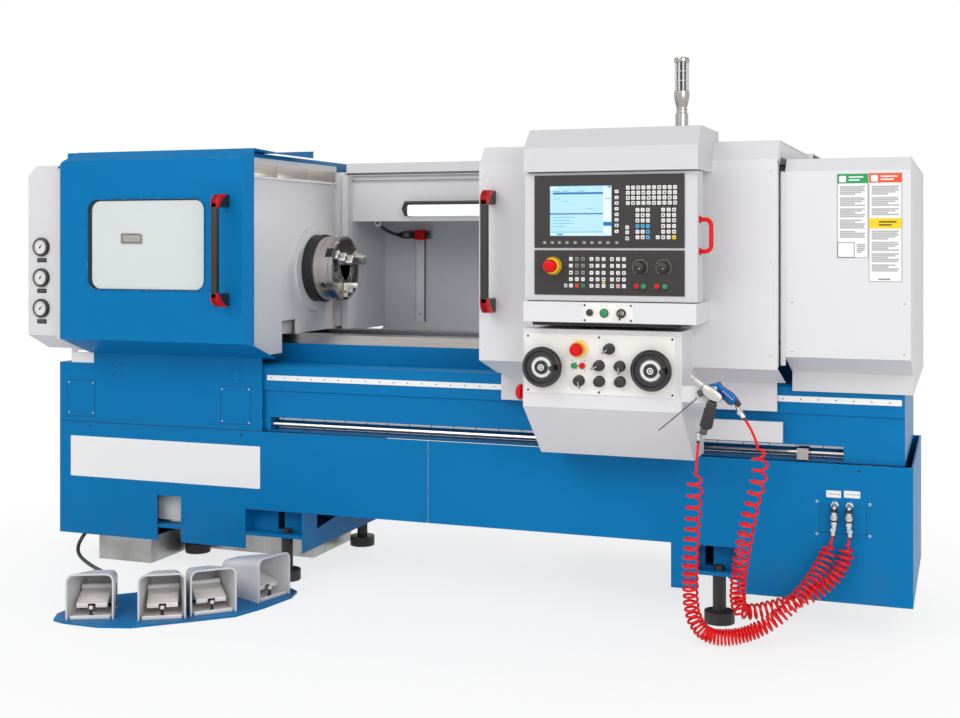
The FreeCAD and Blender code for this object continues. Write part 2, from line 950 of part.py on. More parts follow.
def turned(name, profile):
    """A turned piece about the spindle axis: the profile gives X and the radius."""
    body = new_body(name)
    sketch = outline(body, "XZ", [profile])
    feature = body.newObject("PartDesign::Revolution", f"{name}_turn")
    feature.Profile = sketch
    feature.ReferenceAxis = (sketch, ["H_Axis"])
    feature.Angle = 360
    place(body, 0, D.axis_y, D.axis_z)
    doc.recompute()
    return body


def make_spindle():
    profile = [
        (D.spindle_left, D.spindle_bore),
        (D.spindle_left, D.spindle_radius),
        (D.flange_left, D.spindle_radius),
        (D.flange_left, D.flange_radius),
        (D.chuck_left, D.flange_radius),
        (D.chuck_left, D.spindle_bore),
    ]
    node(turned("spindle", profile), "spindle")


def make_chuck():
    """The chuck's body with three radial slots for its jaws."""
    right = D.chuck_left + D.chuck_length
    profile = [
        (D.chuck_left, D.spindle_bore),
        (D.chuck_left, D.chuck_radius),
        (right, D.chuck_radius),
        (right, D.spindle_bore),
    ]
    body = turned("chuck_body", profile)
    half = D.jaw_width / 2 + D.body_gap
    slot = rectangle(-half, -D.chuck_radius, half, -D.spindle_bore / 2)
    first = pocket(body, outline(body, "YZ", [slot], right), D.jaw_slot_depth)
    pattern = body.newObject("PartDesign::PolarPattern", "chuck_slots")
    pattern.Originals = [first]
    line = [f for f in body.Origin.OriginFeatures if f.Role == "X_Axis"][0]
    pattern.Axis = (line, [""])
    pattern.Angle = 360
    pattern.Occurrences = JAW_COUNT
    body.Tip = pattern
    node(body, "chuck_body")


def make_jaw(index):
    """One stepped jaw, drawn below the axis and turned to its own slot."""
    body = new_body(f"jaw_{index}")
    back = D.chuck_left + D.chuck_length - D.jaw_slot_depth + D.body_gap
    tip = D.chuck_left + D.chuck_length + D.jaw_height
    step = (D.jaw_outer - D.jaw_inner) / JAW_COUNT
    profile = [
        (back, -D.jaw_outer),
        (tip - 2 * D.jaw_step, -D.jaw_outer),
        (tip - 2 * D.jaw_step, -(D.jaw_inner + 2 * step)),
        (tip - D.jaw_step, -(D.jaw_inner + 2 * step)),
        (tip - D.jaw_step, -(D.jaw_inner + step)),
        (tip, -(D.jaw_inner + step)),
        (tip, -D.jaw_inner),
        (back, -D.jaw_inner),
    ]
    pad(body, outline(body, "XZ", [profile], -D.jaw_width / 2), D.jaw_width)
    turn = FULL_TURN / JAW_COUNT * (index - 1)
    place(body, 0, D.axis_y, D.axis_z, (1, 0, 0), turn)
    node(body, f"jaw_{index}")


def sheet_section(name, section, left, length, wall, directions, level=None):
    """A folded-sheet cover: a section padded along X and hollowed, open on some sides."""
    body = new_body(name)
    solid = pad(body, outline(body, "YZ", [section], left), length)
    faces = []
    for direction in directions:
        faces += facing(solid.Shape, direction, level)
    shell(body, solid, wall, faces)
    return body


def make_headstock_cover():
    section = [
        (D.inner_cover_front, D.inner_cover_fold),
        (D.inner_cover_fold_end, D.inner_cover_bottom),
        (D.inner_cover_rear, D.inner_cover_bottom),
        (D.inner_cover_rear, D.inner_cover_top),
        (D.inner_cover_front + D.inner_bevel, D.inner_cover_top - D.roof_fall),
        (D.inner_cover_front, D.inner_cover_top - D.roof_fall - D.inner_bevel),
    ]
    left = D.inner_cover_left
    body = sheet_section(
        "headstock_cover",
        section,
        left,
        D.wall_left - left,
        D.cover_wall,
        [(0, 0, -1), (1, 0, 0)],
    )
    hole = (D.axis_y, D.axis_z, D.bar_hole_radius)
    pocket(body, outline(body, "YZ", [], left + D.cover_wall, [hole]), D.cover_wall)
    node(body, "headstock_cover")


def make_splash_wall():
    body = new_body("splash_wall")
    plate = [
        (D.wall_front, D.wall_fold),
        (D.wall_fold_end, D.wall_low),
        (D.wall_cut_front, D.wall_low),
        (D.wall_cut_front, D.wall_cut_top),
        (D.wall_cut_rear, D.wall_cut_top),
        (D.wall_cut_rear, D.way_top),
        (D.wall_rear, D.way_top),
        (D.wall_rear, D.wall_top),
        (D.wall_front + D.wall_bevel, D.wall_top),
        (D.wall_front, D.wall_top - D.wall_bevel),
    ]
    opening = (D.axis_y, D.axis_z, D.flange_radius + D.nose_gap)
    pad(body, outline(body, "YZ", [plate], D.wall_left, [opening]), D.wall_thick)
    rim = []
    for i in range(RING_SIDES):
        turn = math.tau / RING_SIDES * i
        rim.append(
            (
                D.axis_y + D.nose_ring_radius * math.cos(turn),
                D.axis_z + D.nose_ring_radius * math.sin(turn),
            )
        )
    face = D.wall_left + D.wall_thick
    pad(body, outline(body, "YZ", [rim], face, [opening]), D.nose_ring_depth)
    node(body, "splash_wall")


def make_end_cabinet():
    """The narrow cabinet on the headstock end, with a lip that hangs in front of the base cover."""
    body = new_body("end_cabinet")
    right = D.inner_cover_left
    section = [
        (D.end_front, D.end_front_bottom),
        (D.base_front, D.end_bottom),
        (D.inner_cover_rear, D.end_bottom),
        (D.inner_cover_rear, D.end_top),
        (D.end_front, D.end_top),
    ]
    solid = pad(body, outline(body, "YZ", [section], D.end_left), right - D.end_left)
    edges = edges_along(solid.Shape, (0, 1, 0), [(D.end_left, 0, D.end_top)])
    bevel = chamfer(body, solid, edges, D.end_chamfer)
    shell(body, bevel, D.cover_wall, facing(bevel.Shape, (1, 0, 0)))
    hole = (D.axis_y, D.axis_z, D.bar_hole_radius)
    pocket(body, outline(body, "YZ", [], D.end_left + D.cover_wall, [hole]), D.cover_wall)
    lip = [
        (D.lip_left, D.box_step_top),
        (D.box_step_x - D.lip_gap, D.box_step_top),
        (D.box_step_x - D.lip_gap, (D.door_bottom - D.body_gap) - D.lip_gap),
        (right - D.lip_gap, (D.door_bottom - D.body_gap) - D.lip_gap),
        (right - D.lip_gap, D.end_bottom + D.lip_overlap),
        (D.lip_left, D.end_bottom + D.lip_overlap),
    ]
    pad(body, outline(body, "XZ", [lip], -(D.base_front + D.cover_wall)), D.cover_wall)
    node(body, "end_cabinet")


def make_gauges():
    dials = []
    for i in range(GAUGE_COUNT):
        centre = (D.gauge_x, D.end_front, D.gauge_top_z - i * D.gauge_pitch)
        dials.append(prism(f"gauge_{i}", 12, centre, D.gauge_radius, D.gauge_depth, "-Y"))
    node(group("pressure_gauges", dials), "pressure_gauges")


def make_rear_enclosure():
    """The rear casing: a hollow section with the valance, and its end wall and corner post."""
    section = [
        (D.bed_rear_shelf, D.enclosure_bottom),
        (D.enclosure_rear, D.enclosure_bottom),
        (D.enclosure_rear, D.rail_top),
        (D.rail_front, D.rail_top),
        (D.rail_front, D.rail_bottom),
        (D.rail_front + D.rail_step, D.rail_bottom),
        (D.rail_front + D.rail_step, D.valance_top),
        (D.valance_front, D.valance_top),
        (D.valance_front, D.valance_bottom),
        (D.rear_wall, D.valance_bottom),
        (D.rear_wall, D.rear_wall_bottom),
        (D.bed_rear_shelf, D.chute_top),
    ]
    length = D.cabinet_left - D.rear_left
    body = sheet_section(
        "rear_enclosure", section, D.rear_left, length, D.cabinet_wall, [(1, 0, 0)]
    )
    post = rectangle(D.rear_left, D.post_front, D.rear_left + D.post_width, D.post_rear)
    pad(body, outline(body, "XY", [post], D.way_top), D.rail_bottom - D.way_top)
    end = rectangle(D.way_front + D.way_span, D.rear_wall_bottom, D.rear_wall, D.valance_bottom)
    pad(body, outline(body, "YZ", [end], D.rear_left), D.plate_wall)
    node(body, "rear_enclosure")


def make_work_lamp():
    low = (D.lamp_left, D.valance_front - D.lamp_depth, D.lamp_bottom)
    high = (D.lamp_left + D.lamp_length, D.valance_front, D.lamp_bottom + D.lamp_height)
    node(box("work_lamp", low, high), "work_lamp")


def make_door_switch():
    front = D.rear_wall - D.switch_depth
    low = (D.switch_left, front, D.switch_z - D.switch_height / 2)
    high = (D.switch_left + D.switch_length, D.rear_wall, D.switch_z + D.switch_height / 2)
    case = box("switch_case", low, high)
    base = (D.switch_post_left, D.rear_wall - D.strip_thick, D.switch_post_bottom)
    end = (D.switch_post_left + D.switch_post_width, D.rear_wall, D.switch_z)
    node(fuse("door_switch", [case, box("switch_post", base, end)]), "door_switch")


def make_right_cabinet():
    section = [
        (D.cabinet_front, D.cabinet_fold_top),
        (D.base_front, D.cabinet_fold_bottom),
        (D.base_front, D.cabinet_bottom),
        (D.enclosure_rear, D.cabinet_bottom),
        (D.enclosure_rear, D.cabinet_top),
        (D.cabinet_front + D.cabinet_bevel, D.cabinet_top),
        (D.cabinet_front, D.cabinet_top - D.cabinet_bevel),
    ]
    left = D.cabinet_left
    body = sheet_section(
        "right_cabinet",
        section,
        left,
        D.base_right - left,
        D.cabinet_wall,
        [(-1, 0, 0), (0, 0, -1)],
    )
    node(body, "right_cabinet")


def make_levelling_feet():
    feet = []
    for i, (x, y) in enumerate(FEET):
        disc = prism(f"foot_disc_{i}", 12, (x, y, 0), D.foot_radius, D.foot_height)
        length = D.foot_shelf - D.foot_height
        stem = prism(f"foot_stem_{i}", 8, (x, y, D.foot_height), D.foot_stem, length)
        feet.append(fuse(f"foot_{i}", [disc, stem]))
        top = D.foot_shelf + D.shelf_plate
        feet.append(prism(f"foot_nut_{i}", 6, (x, y, top), D.nut_radius, D.nut_height))
    node(group("levelling_feet", feet), "levelling_feet")


def make_rail_strip():
    lip = D.bed_face - D.bed_lip
    low = (D.strip_left, lip - D.strip_thick, D.strip_bottom)
    high = (D.strip_right, lip, D.strip_bottom + D.strip_height)
    node(box("rail_cover_strip", low, high), "rail_cover_strip")


def make_stop_rod():
    """The trip rod in its recess and the dog clamped on it."""
    y = D.bed_face + D.rod_inset
    length = D.rod_slot_right - D.rod_slot_left
    rod = prism("rod", 8, (D.rod_slot_left, y, D.rod_height), D.rod_radius, length, "X")
    low = (D.dog_x, y - D.dog_size, D.rod_height - D.dog_size / 2)
    high = (D.dog_x + D.dog_length, y + D.rod_inset, D.rod_height + D.dog_size / 2)
    node(fuse("stop_rod", [rod, box("dog", low, high)]), "stop_rod")


def make_couplings():
    bodies = []
    y = D.base_front - D.coupling_stand
    height = D.coupling_top - D.coupling_bottom
    for i in range(HOSE_COUNT):
        x = D.coupling_left_x + i * D.coupling_pitch
        stem = prism(f"coupling_stem_{i}", 8, (x, y, D.coupling_bottom), D.coupling_radius, height)
        arm_z = D.coupling_top - D.coupling_radius
        arm = prism(
            f"coupling_arm_{i}",
            8,
            (x, D.base_front, arm_z),
            D.coupling_radius,
            D.coupling_stand,
            "-Y",
        )
        bodies.append(fuse(f"coupling_{i}", [stem, arm]))
    node(group("hose_couplings", bodies), "hose_couplings")


def make_main_motor():
    """The spindle motor on the left pedestal's shelf, with its terminal box."""
    body = new_body("main_motor")
    low = D.foot_shelf + D.shelf_plate
    half = D.motor_size / 2
    section = rectangle(D.motor_y - half, low, D.motor_y + half, low + D.motor_size)
    solid = pad(body, outline(body, "YZ", [section], D.motor_left), D.motor_length)
    corners = [(0, D.motor_y - half, low + D.motor_size), (0, D.motor_y + half, low + D.motor_size)]
    chamfer(body, solid, edges_along(solid.Shape, (1, 0, 0), corners), half / 4)
    top = low + D.motor_size
    crate = rectangle(
        D.motor_left + half, D.motor_y - half / 2, D.motor_left + 2 * half, D.motor_y + half / 2
    )
    pad(body, outline(body, "XY", [crate], top), half / 2)
    node(body, "main_motor")


def make_coolant_tank():
    body = new_body("coolant_tank")
    plan = [
        (D.tank_left, D.tank_lobe_front),
        (D.tank_lobe_right, D.tank_lobe_front),
        (D.tank_lobe_right, D.tank_front),
        (D.tank_right, D.tank_front),
        (D.tank_right, D.tank_rear),
        (D.tank_left, D.tank_rear),
    ]
    solid = pad(body, outline(body, "XY", [plan]), D.tank_height)
    shell(body, solid, D.cover_wall, facing(solid.Shape, (0, 0, 1)))
    node(body, "coolant_tank")


def make_electrical_cabinet():
    body = new_body("electrical_cabinet")
    front = rectangle(
        D.electric_left, D.electric_bottom, D.electric_right, D.shelf_underside
    )
    depth = D.electric_rear - D.base_rear
    solid = pad(body, outline(body, "XZ", [front], -D.electric_rear), depth)
    shell(body, solid, D.cover_wall, facing(solid.Shape, (0, 1, 0)))
    plate = rectangle(
        D.electric_left + D.mount_plate_inset,
        D.electric_bottom + D.mount_plate_inset,
        D.electric_right - D.mount_plate_inset,
        D.shelf_underside - D.mount_plate_inset,
    )
    rear = D.base_rear + D.cover_wall + D.strip_thick
    pad(body, outline(body, "XZ", [plate], -rear), D.strip_thick)
    node(body, "electrical_cabinet")


def make_cabinet_door():
    """The rear door, its two hinge barrels and a swing handle."""
    face = D.electric_rear + D.body_gap
    low = (D.electric_left, face, D.electric_bottom)
    high = (D.electric_right, face + D.electric_door, D.shelf_underside)
    pieces = [box("cabinet_leaf", low, high)]
    x = D.electric_left - D.hinge_radius
    y = face + D.electric_door / 2
    height = D.shelf_underside - D.electric_bottom
    for i, part in enumerate((0.15, 0.75)):
        z = D.electric_bottom + height * part
        pieces.append(prism(f"hinge_{i}", 8, (x, y, z), D.hinge_radius, height / 10))
        leaf_low = (x, y - D.body_gap, z)
        leaf_high = (D.electric_left, y + D.body_gap, z + height / 10)
        pieces.append(box(f"hinge_leaf_{i}", leaf_low, leaf_high))
    node(fuse("cabinet_door", pieces), "cabinet_door")


def make_sliding_door():
    """The headstock door: a folded hood with a window opening and a bevelled free edge."""
    body = new_body("sliding_door")
    section = [
        (D.door_front, D.door_fold_top),
        (D.base_front, D.door_bottom),
        (D.door_rear, D.door_bottom),
        (D.door_rear, D.door_rear_z),
        (D.door_roof_y, D.door_roof_z),
        (D.door_ridge_y, D.door_ridge_z),
        (D.door_front, D.door_bevel_bottom),
    ]
    solid = pad(body, outline(body, "YZ", [section], D.door_left), D.door_right - D.door_left)
    corner = [
        (D.door_left, D.door_rear_z - D.door_corner_drop),
        (D.door_left, D.door_rear_z),
        (D.door_left + D.door_corner, D.door_rear_z),
    ]
    clip = outline(body, "XZ", [corner], -D.door_front)
    clipped = pocket(body, clip, D.door_clip_depth)
    edges = edges_along(clipped.Shape, (0, 0, 1), [(D.door_right, D.door_front, 0)])
    bevel = chamfer(body, clipped, edges, D.door_edge)
    faces = []
    for direction in ((0, 0, -1), (0, 1, 0), (1, 0, 0), (-1, 0, 0)):
        faces += facing(bevel.Shape, direction)
    shell(body, bevel, D.door_wall, faces)
    opening = rectangle(D.window_left, D.window_bottom, D.window_right, D.window_top)
    hole = pocket(body, outline(body, "XZ", [opening], -D.door_front), D.door_wall)
    corners = [
        (D.window_left, 0, D.window_bottom),
        (D.window_left, 0, D.window_top),
        (D.window_right, 0, D.window_bottom),
        (D.window_right, 0, D.window_top),
    ]
    fillet(body, hole, edges_along(hole.Shape, (0, 1, 0), corners), D.window_corner)
    node(body, "sliding_door")


def make_door_window():
    face = D.door_front + D.door_wall
    overlap = D.glass_overlap
    low = (D.window_left - overlap, face, D.window_bottom - overlap)
    high = (D.window_right + overlap, face + D.glass_thick, D.window_top + overlap)
    node(box("door_window", low, high), "door_window")


def make_grip(name, x, face):
    """A pull handle: a bar held off the sheet by a foot at each end."""
    body = new_body(name)
    low = D.grip_bottom
    top = D.grip_bottom + D.grip_length
    outer = face - D.grip_stand
    inner = outer + D.grip_bar
    bevel = D.grip_bevel
    profile = [
        (face, low),
        (outer + bevel, low),
        (outer, low + bevel),
        (outer, top - bevel),
        (outer + bevel, top),
        (face, top),
        (face, top - D.grip_foot),
        (inner, top - D.grip_foot),
        (inner, low + D.grip_foot),
        (face, low + D.grip_foot),
    ]
    solid = pad(body, outline(body, "YZ", [profile], x), D.grip_width)
    corners = [(x, outer, 0), (x + D.grip_width, outer, 0)]
    chamfer(body, solid, edges_along(solid.Shape, (0, 0, 1), corners), D.grip_round)
    node(body, name)


def make_saddle():
    """The saddle bridges both ways, with a front slab and a rear keeper."""
    body = new_body("saddle")
    slide = D.way_top + D.body_gap
    front = D.saddle_front + D.saddle_wall
    saddle_rear = D.way_front + D.way_span + D.saddle_overhang
    rear = saddle_rear - D.saddle_wall
    section = [
        (D.saddle_front, D.saddle_bottom),
        (front, D.saddle_bottom),
        (front, slide),
        (rear, slide),
        (rear, slide - D.keeper_drop),
        (saddle_rear, slide - D.keeper_drop),
        (saddle_rear, D.saddle_top),
        (D.saddle_front, D.saddle_top),
    ]
    pad(body, outline(body, "YZ", [section], D.saddle_left), D.saddle_right - D.saddle_left)
    plate = rectangle(
        D.saddle_plate_left, D.saddle_bottom, D.saddle_plate_right, D.guard_bottom
    )
    face = D.saddle_front + D.saddle_plate
    pad(body, outline(body, "XZ", [plate], -face), D.saddle_plate)
    node(body, "saddle")


def make_cross_slide():
    """The cross slide with the turret's indexing housing on it."""
    body = new_body("cross_slide")
    low = D.saddle_top + D.body_gap
    top = low + D.cross_height
    rear = D.cross_front + D.cross_length
    plate = rectangle(D.cross_left, D.cross_front, D.cross_right, rear)
    pad(body, outline(body, "XY", [plate], low), D.cross_height)
    left = D.turret_left + D.turret_disc + D.body_gap
    half = D.turret_housing / 2
    block = rectangle(left, D.turret_y - half, D.cross_right, D.turret_y + half)
    high = D.axis_z + half - D.turret_trim
    pad(body, outline(body, "XY", [block], top), high - top)
    node(body, "cross_slide")


def make_tool_turret():
    """An eight-sided tool disc with a square shank held in each of its stations."""
    disc = prism(
        "turret_disc", TOOL_COUNT, (D.turret_left, 0, 0), D.turret_radius, D.turret_disc, "X"
    )
    pieces = [disc]
    for i in range(TOOL_COUNT):
        turn = FULL_TURN / TOOL_COUNT * (i + 0.5)
        reach = D.tool_reach
        holder = doc.addObject("Part::Box", f"tool_{i}")
        bind(holder, "Length", D.turret_disc / 2)
        bind(holder, "Width", D.tool_size)
        bind(holder, "Height", reach)
        spin = FreeCAD.Rotation(FreeCAD.Vector(1, 0, 0), turn)
        shift = spin.multVec(FreeCAD.Vector(0, -number(D.tool_size) / 2, 0))
        holder.Placement = FreeCAD.Placement(
            FreeCAD.Vector(number(D.turret_left), shift.y, shift.z), spin
        )
        bind(holder, "Placement.Base.x", D.turret_left)
        pieces.append(holder)
    turret = fuse("tool_turret", pieces)
    place(turret, 0, D.turret_y, D.axis_z)
    node(turret, "tool_turret")


def make_guard():
    """The carriage guard: a folded hood open below and at both ends, with the operator's shelf."""
    section = [
        (D.guard_front, D.guard_fold_top),
        (D.guard_fold_end, D.guard_bottom),
        (D.guard_rear, D.guard_bottom),
        (D.guard_rear, D.guard_ridge_z),
        (D.guard_ridge_y, D.guard_ridge_z),
        (D.guard_front, D.guard_bevel_bottom),
    ]
    left = D.guard_left
    body = sheet_section(
        "carriage_guard",
        section,
        left,
        D.guard_right - left,
        D.guard_wall,
        [(-1, 0, 0), (1, 0, 0), (0, 0, -1), (0, 1, 0)],
    )
    band = rectangle(D.panel_left, D.shelf_front, D.panel_right, D.guard_front)
    pad(body, outline(body, "XY", [band], D.shelf_bottom), D.shelf_top - D.shelf_bottom)
    node(body, "carriage_guard")


def make_station_hood():
    body = new_body("station_hood")
    section = [
        (D.hood_front, D.hood_bottom),
        (D.guard_front, D.hood_bottom),
        (D.guard_front, D.guard_bevel_bottom),
        (D.guard_ridge_y, D.guard_ridge_z),
        (D.hood_rear, D.guard_ridge_z),
        (D.hood_rear, D.hood_ridge_z),
        (D.hood_ridge_y, D.hood_ridge_z),
        (D.hood_front, D.hood_bevel_bottom),
    ]
    pad(body, outline(body, "YZ", [section], D.hood_left), D.hood_right - D.hood_left)
    node(body, "station_hood")


def make_panel_housing():
    """The swivelling panel's case and its two pivot washers."""
    low = (D.panel_left, D.panel_front, D.panel_bottom)
    high = (D.panel_right, D.panel_rear, D.panel_top)
    case = box("panel_case", low, high)
    x = D.panel_left + D.pivot_inset
    y = (D.panel_front + D.panel_rear) / 2
    above = D.hood_bottom - D.body_gap - D.panel_top
    below = D.panel_bottom - D.body_gap - D.shelf_top
    upper = prism("pivot_upper", 10, (x, y, D.panel_top), D.pivot_radius, above)
    lower = prism("pivot_lower", 10, (x, y, D.panel_bottom - below), D.pivot_radius, below)
    node(fuse("panel_housing", [case, upper, lower]), "panel_housing")


def make_panel_handle():
    body = new_body("panel_handle")
    reach = D.panel_right + D.u_handle_reach
    bar = D.u_handle_bar
    corner = D.u_handle_bar
    profile = [
        (D.panel_right, D.u_handle_low),
        (reach - corner, D.u_handle_low),
        (reach, D.u_handle_low + corner),
        (reach, D.u_handle_high - corner),
        (reach - corner, D.u_handle_high),
        (D.panel_right, D.u_handle_high),
        (D.panel_right, D.u_handle_high - bar),
        (reach - bar, D.u_handle_high - bar),
        (reach - bar, D.u_handle_low + bar),
        (D.panel_right, D.u_handle_low + bar),
    ]
    middle = (D.panel_front + D.panel_rear) / 2 - D.u_handle_shift
    pad(body, outline(body, "XZ", [profile], -(middle + bar / 2)), bar)
    node(body, "panel_handle")


def make_hmi_panel():
    """The keyboard and screen plate with the screen set into it."""
    body = new_body("hmi_panel")
    plate = rectangle(D.black_left, D.black_split, D.black_right, D.black_top)
    pad(body, outline(body, "XZ", [plate], -D.panel_front), D.black_thick)
    screen = rectangle(D.screen_left, D.screen_bottom, D.screen_right, D.screen_top)
    face = D.panel_front - D.black_thick
    pocket(body, outline(body, "XZ", [screen], -face), D.screen_recess)
    node(body, "hmi_panel")


def collar(name, x, face, z):
    """The ring an emergency stop's stem slides in."""
    height = D.collar_height
    ring = prism(f"{name}_ring", 16, (x, face, z), D.stop_collar, height, "-Y")
    radius = D.stop_neck + D.running_fit
    bore = prism(f"{name}_bore", 16, (x, face, z), radius, height, "-Y")
    return cut(f"{name}_collar", ring, bore)


def knob(name, x, face, z, radius, height):
    return prism(name, 8, (x, face, z), radius, height, "-Y")


def make_operating_panel():
    face = D.panel_front - D.black_thick
    low = (D.black_left, face, D.black_bottom)
    high = (D.black_right, D.panel_front, D.black_split - D.black_gap)
    pieces = [box("operating_plate", low, high)]
    pieces.append(collar("panel_stop", D.panel_stop_x, face, D.panel_stop_z))
    for i, (x, z) in enumerate(PANEL_DIALS):
        pieces.append(knob(f"dial_{i}", x, face, z, D.knob_radius, D.knob_height))
    for i, (x, z) in enumerate(PANEL_BUTTONS):
        pieces.append(knob(f"key_{i}", x, face, z, D.button_radius, D.button_height))
    node(fuse("operating_panel", pieces), "operating_panel")


def make_control_plate():
    """The apron's plate with bores for the handwheel shafts, a stop collar and its knobs."""
    face = D.apron_front - D.black_thick
    low = (D.control_left, face, D.control_bottom)
    high = (D.control_right, D.apron_front, D.control_top)
    pieces = [box("control_sheet", low, high)]
    pieces.append(collar("apron_stop", D.apron_stop_x, face, D.apron_stop_z))
    for i, (x, z) in enumerate(APRON_KNOBS):
        pieces.append(knob(f"knob_{i}", x, face, z, D.knob_radius, D.knob_height))
    for i, (x, z) in enumerate(APRON_BUTTONS):
        pieces.append(knob(f"button_{i}", x, face, z, D.button_radius, D.button_height))
    solid = fuse("control_solid", pieces)
    bores = []
    for i, x in enumerate((D.wheel_left_x, D.wheel_right_x)):
        centre = (x, D.apron_front, D.wheel_z)
        radius = D.wheel_shaft + D.running_fit
        bores.append(cylinder(f"wheel_bore_{i}", centre, radius, D.black_thick, "-Y"))
    node(cut("control_plate", solid, group("wheel_bores", bores)), "control_plate")


def make_apron():
    """The apron's folded case, its foot plate and the bracket the air guns hang on."""
    section = [
        (D.apron_front, D.apron_knee),
        (D.apron_foot, D.apron_bottom),
        (D.saddle_front, D.apron_bottom),
        (D.saddle_front, D.guard_bottom),
        (D.guard_fold_end, D.guard_bottom),
        (D.guard_front, D.guard_fold_top),
        (D.guard_front, D.apron_top),
        (D.apron_front, D.apron_top),
    ]
    body = sheet_section(
        "apron",
        section,
        D.apron_left,
        D.apron_right - D.apron_left,
        D.guard_wall,
        [(0, 1, 0)],
        D.saddle_front,
    )
    radius = D.wheel_shaft + D.running_fit
    bores = [(x, D.wheel_z, radius) for x in (D.wheel_left_x, D.wheel_right_x)]
    pocket(body, outline(body, "XZ", [], -D.apron_front, bores), D.guard_wall)
    plate = rectangle(
        D.apron_right - D.foot_plate_lap,
        D.foot_plate_bottom,
        D.foot_plate_right,
        D.foot_plate_top,
    )
    rear = D.saddle_front + D.foot_plate_thick
    pad(body, outline(body, "XZ", [plate], -rear), D.foot_plate_thick)
    bracket = rectangle(
        D.apron_right - D.guard_wall,
        D.bracket_z,
        D.apron_right + D.bracket_reach,
        D.bracket_z + D.bracket_height,
    )
    rear = (D.gun_y + D.blue_gun_y + D.bracket_thick) / 2
    pad(body, outline(body, "XZ", [bracket], -rear), D.bracket_thick)
    node(body, "apron")


def make_handwheel(name, x):
    """A handwheel: shaft, hub, web, rim and crank handle."""
    face = D.apron_front - D.black_thick - D.body_gap
    rim_back = face - D.wheel_gap
    shaft_end = D.apron_front + D.guard_wall
    depth = shaft_end - rim_back
    shaft = prism("shaft", 16, (x, shaft_end, D.wheel_z), D.wheel_shaft, depth, "-Y")
    hub_depth = D.wheel_gap + D.wheel_rim
    hub = prism("hub", 10, (x, face, D.wheel_z), D.wheel_hub, hub_depth, "-Y")
    rim = prism("rim", 20, (x, rim_back, D.wheel_z), D.wheel_radius, D.wheel_rim, "-Y")
    well_depth = D.wheel_rim / 2
    well_start = (x, rim_back - well_depth, D.wheel_z)
    well_radius = D.wheel_radius - D.wheel_hub / 2
    well = prism("well", 20, well_start, well_radius, well_depth, "-Y")
    dish = cut("dish", rim, well)
    crank_x = x + D.wheel_radius * D.crank_offset
    crank_start = (crank_x, rim_back - well_depth, D.wheel_z)
    crank = prism("crank", 8, crank_start, D.crank_radius, D.crank_length, "-Y")
    node(fuse(name, [shaft, hub, dish, crank]), name)


def make_emergency_stop(name, x, face, z):
    """A mushroom button whose stem ends inside its collar."""
    travel = D.stop_travel + D.body_gap
    head_back = face - D.collar_height - travel
    stem_end = face - travel
    stem = prism(f"{name}_stem", 16, (x, stem_end, z), D.stop_neck, D.collar_height, "-Y")
    head = prism(f"{name}_head", 12, (x, head_back, z), D.stop_radius, D.stop_height, "-Y")
    node(fuse(name, [stem, head]), name)


def make_beacon():
    """The warning beacon: its base under a wider lens."""
    base_height = D.beacon_height - D.beacon_lens
    foot = (D.beacon_x, D.beacon_y, D.hood_ridge_z)
    base = prism("beacon_base", 16, foot, D.beacon_base, base_height)
    seat = (D.beacon_x, D.beacon_y, D.hood_ridge_z + base_height)
    lens = prism("beacon_lens", 16, seat, D.beacon_head, D.beacon_lens)
    node(fuse("warning_beacon", [base, lens]), "warning_beacon")


def make_gun(name, outlines, y):
    """An air gun hung beside the apron, drawn from the front and padded to each piece's depth."""
    body = new_body(name)
    for points, depth in outlines:
        pad(body, outline(body, "XZ", [points], -(y + depth / 2)), depth)
    node(body, name)


def make_tailstock():
    body = new_body("tailstock")
    low = D.way_top + D.body_gap
    half = D.tail_width / 2
    neck = D.tail_body / 2
    section = [
        (D.axis_y - half, low),
        (D.axis_y + half, low),
        (D.axis_y + half, low + D.tail_base),
        (D.axis_y + neck, low + 2 * D.tail_base),
        (D.axis_y + neck, D.axis_z + D.tail_top),
        (D.axis_y - neck, D.axis_z + D.tail_top),
        (D.axis_y - neck, low + 2 * D.tail_base),
        (D.axis_y - half, low + D.tail_base),
    ]
    bore = (D.axis_y, D.axis_z, D.quill_radius + D.running_fit)
    sketch = outline(body, "YZ", [section], D.tail_left, [bore])
    solid = pad(body, sketch, D.tail_length)
    corners = [
        (0, D.axis_y - neck, D.axis_z + D.tail_top),
        (0, D.axis_y + neck, D.axis_z + D.tail_top),
    ]
    chamfer(body, solid, edges_along(solid.Shape, (1, 0, 0), corners), neck / 2)
    node(body, "tailstock")


def make_quill():
    """The tailstock's quill."""
    left = D.tail_left - D.quill_reach
    profile = [
        (left, 0),
        (left, D.quill_radius),
        (D.tail_left + D.tail_length - D.quill_reach / 2, D.quill_radius),
        (D.tail_left + D.tail_length - D.quill_reach / 2, 0),
    ]
    node(turned("tailstock_quill", profile), "tailstock_quill")


def make_pedal_plate():
    body = new_body("pedal_plate")
    pad(body, outline(body, "XY", [PEDAL_PLATE]), D.pedal_plate_thick)
    node(body, "pedal_plate")


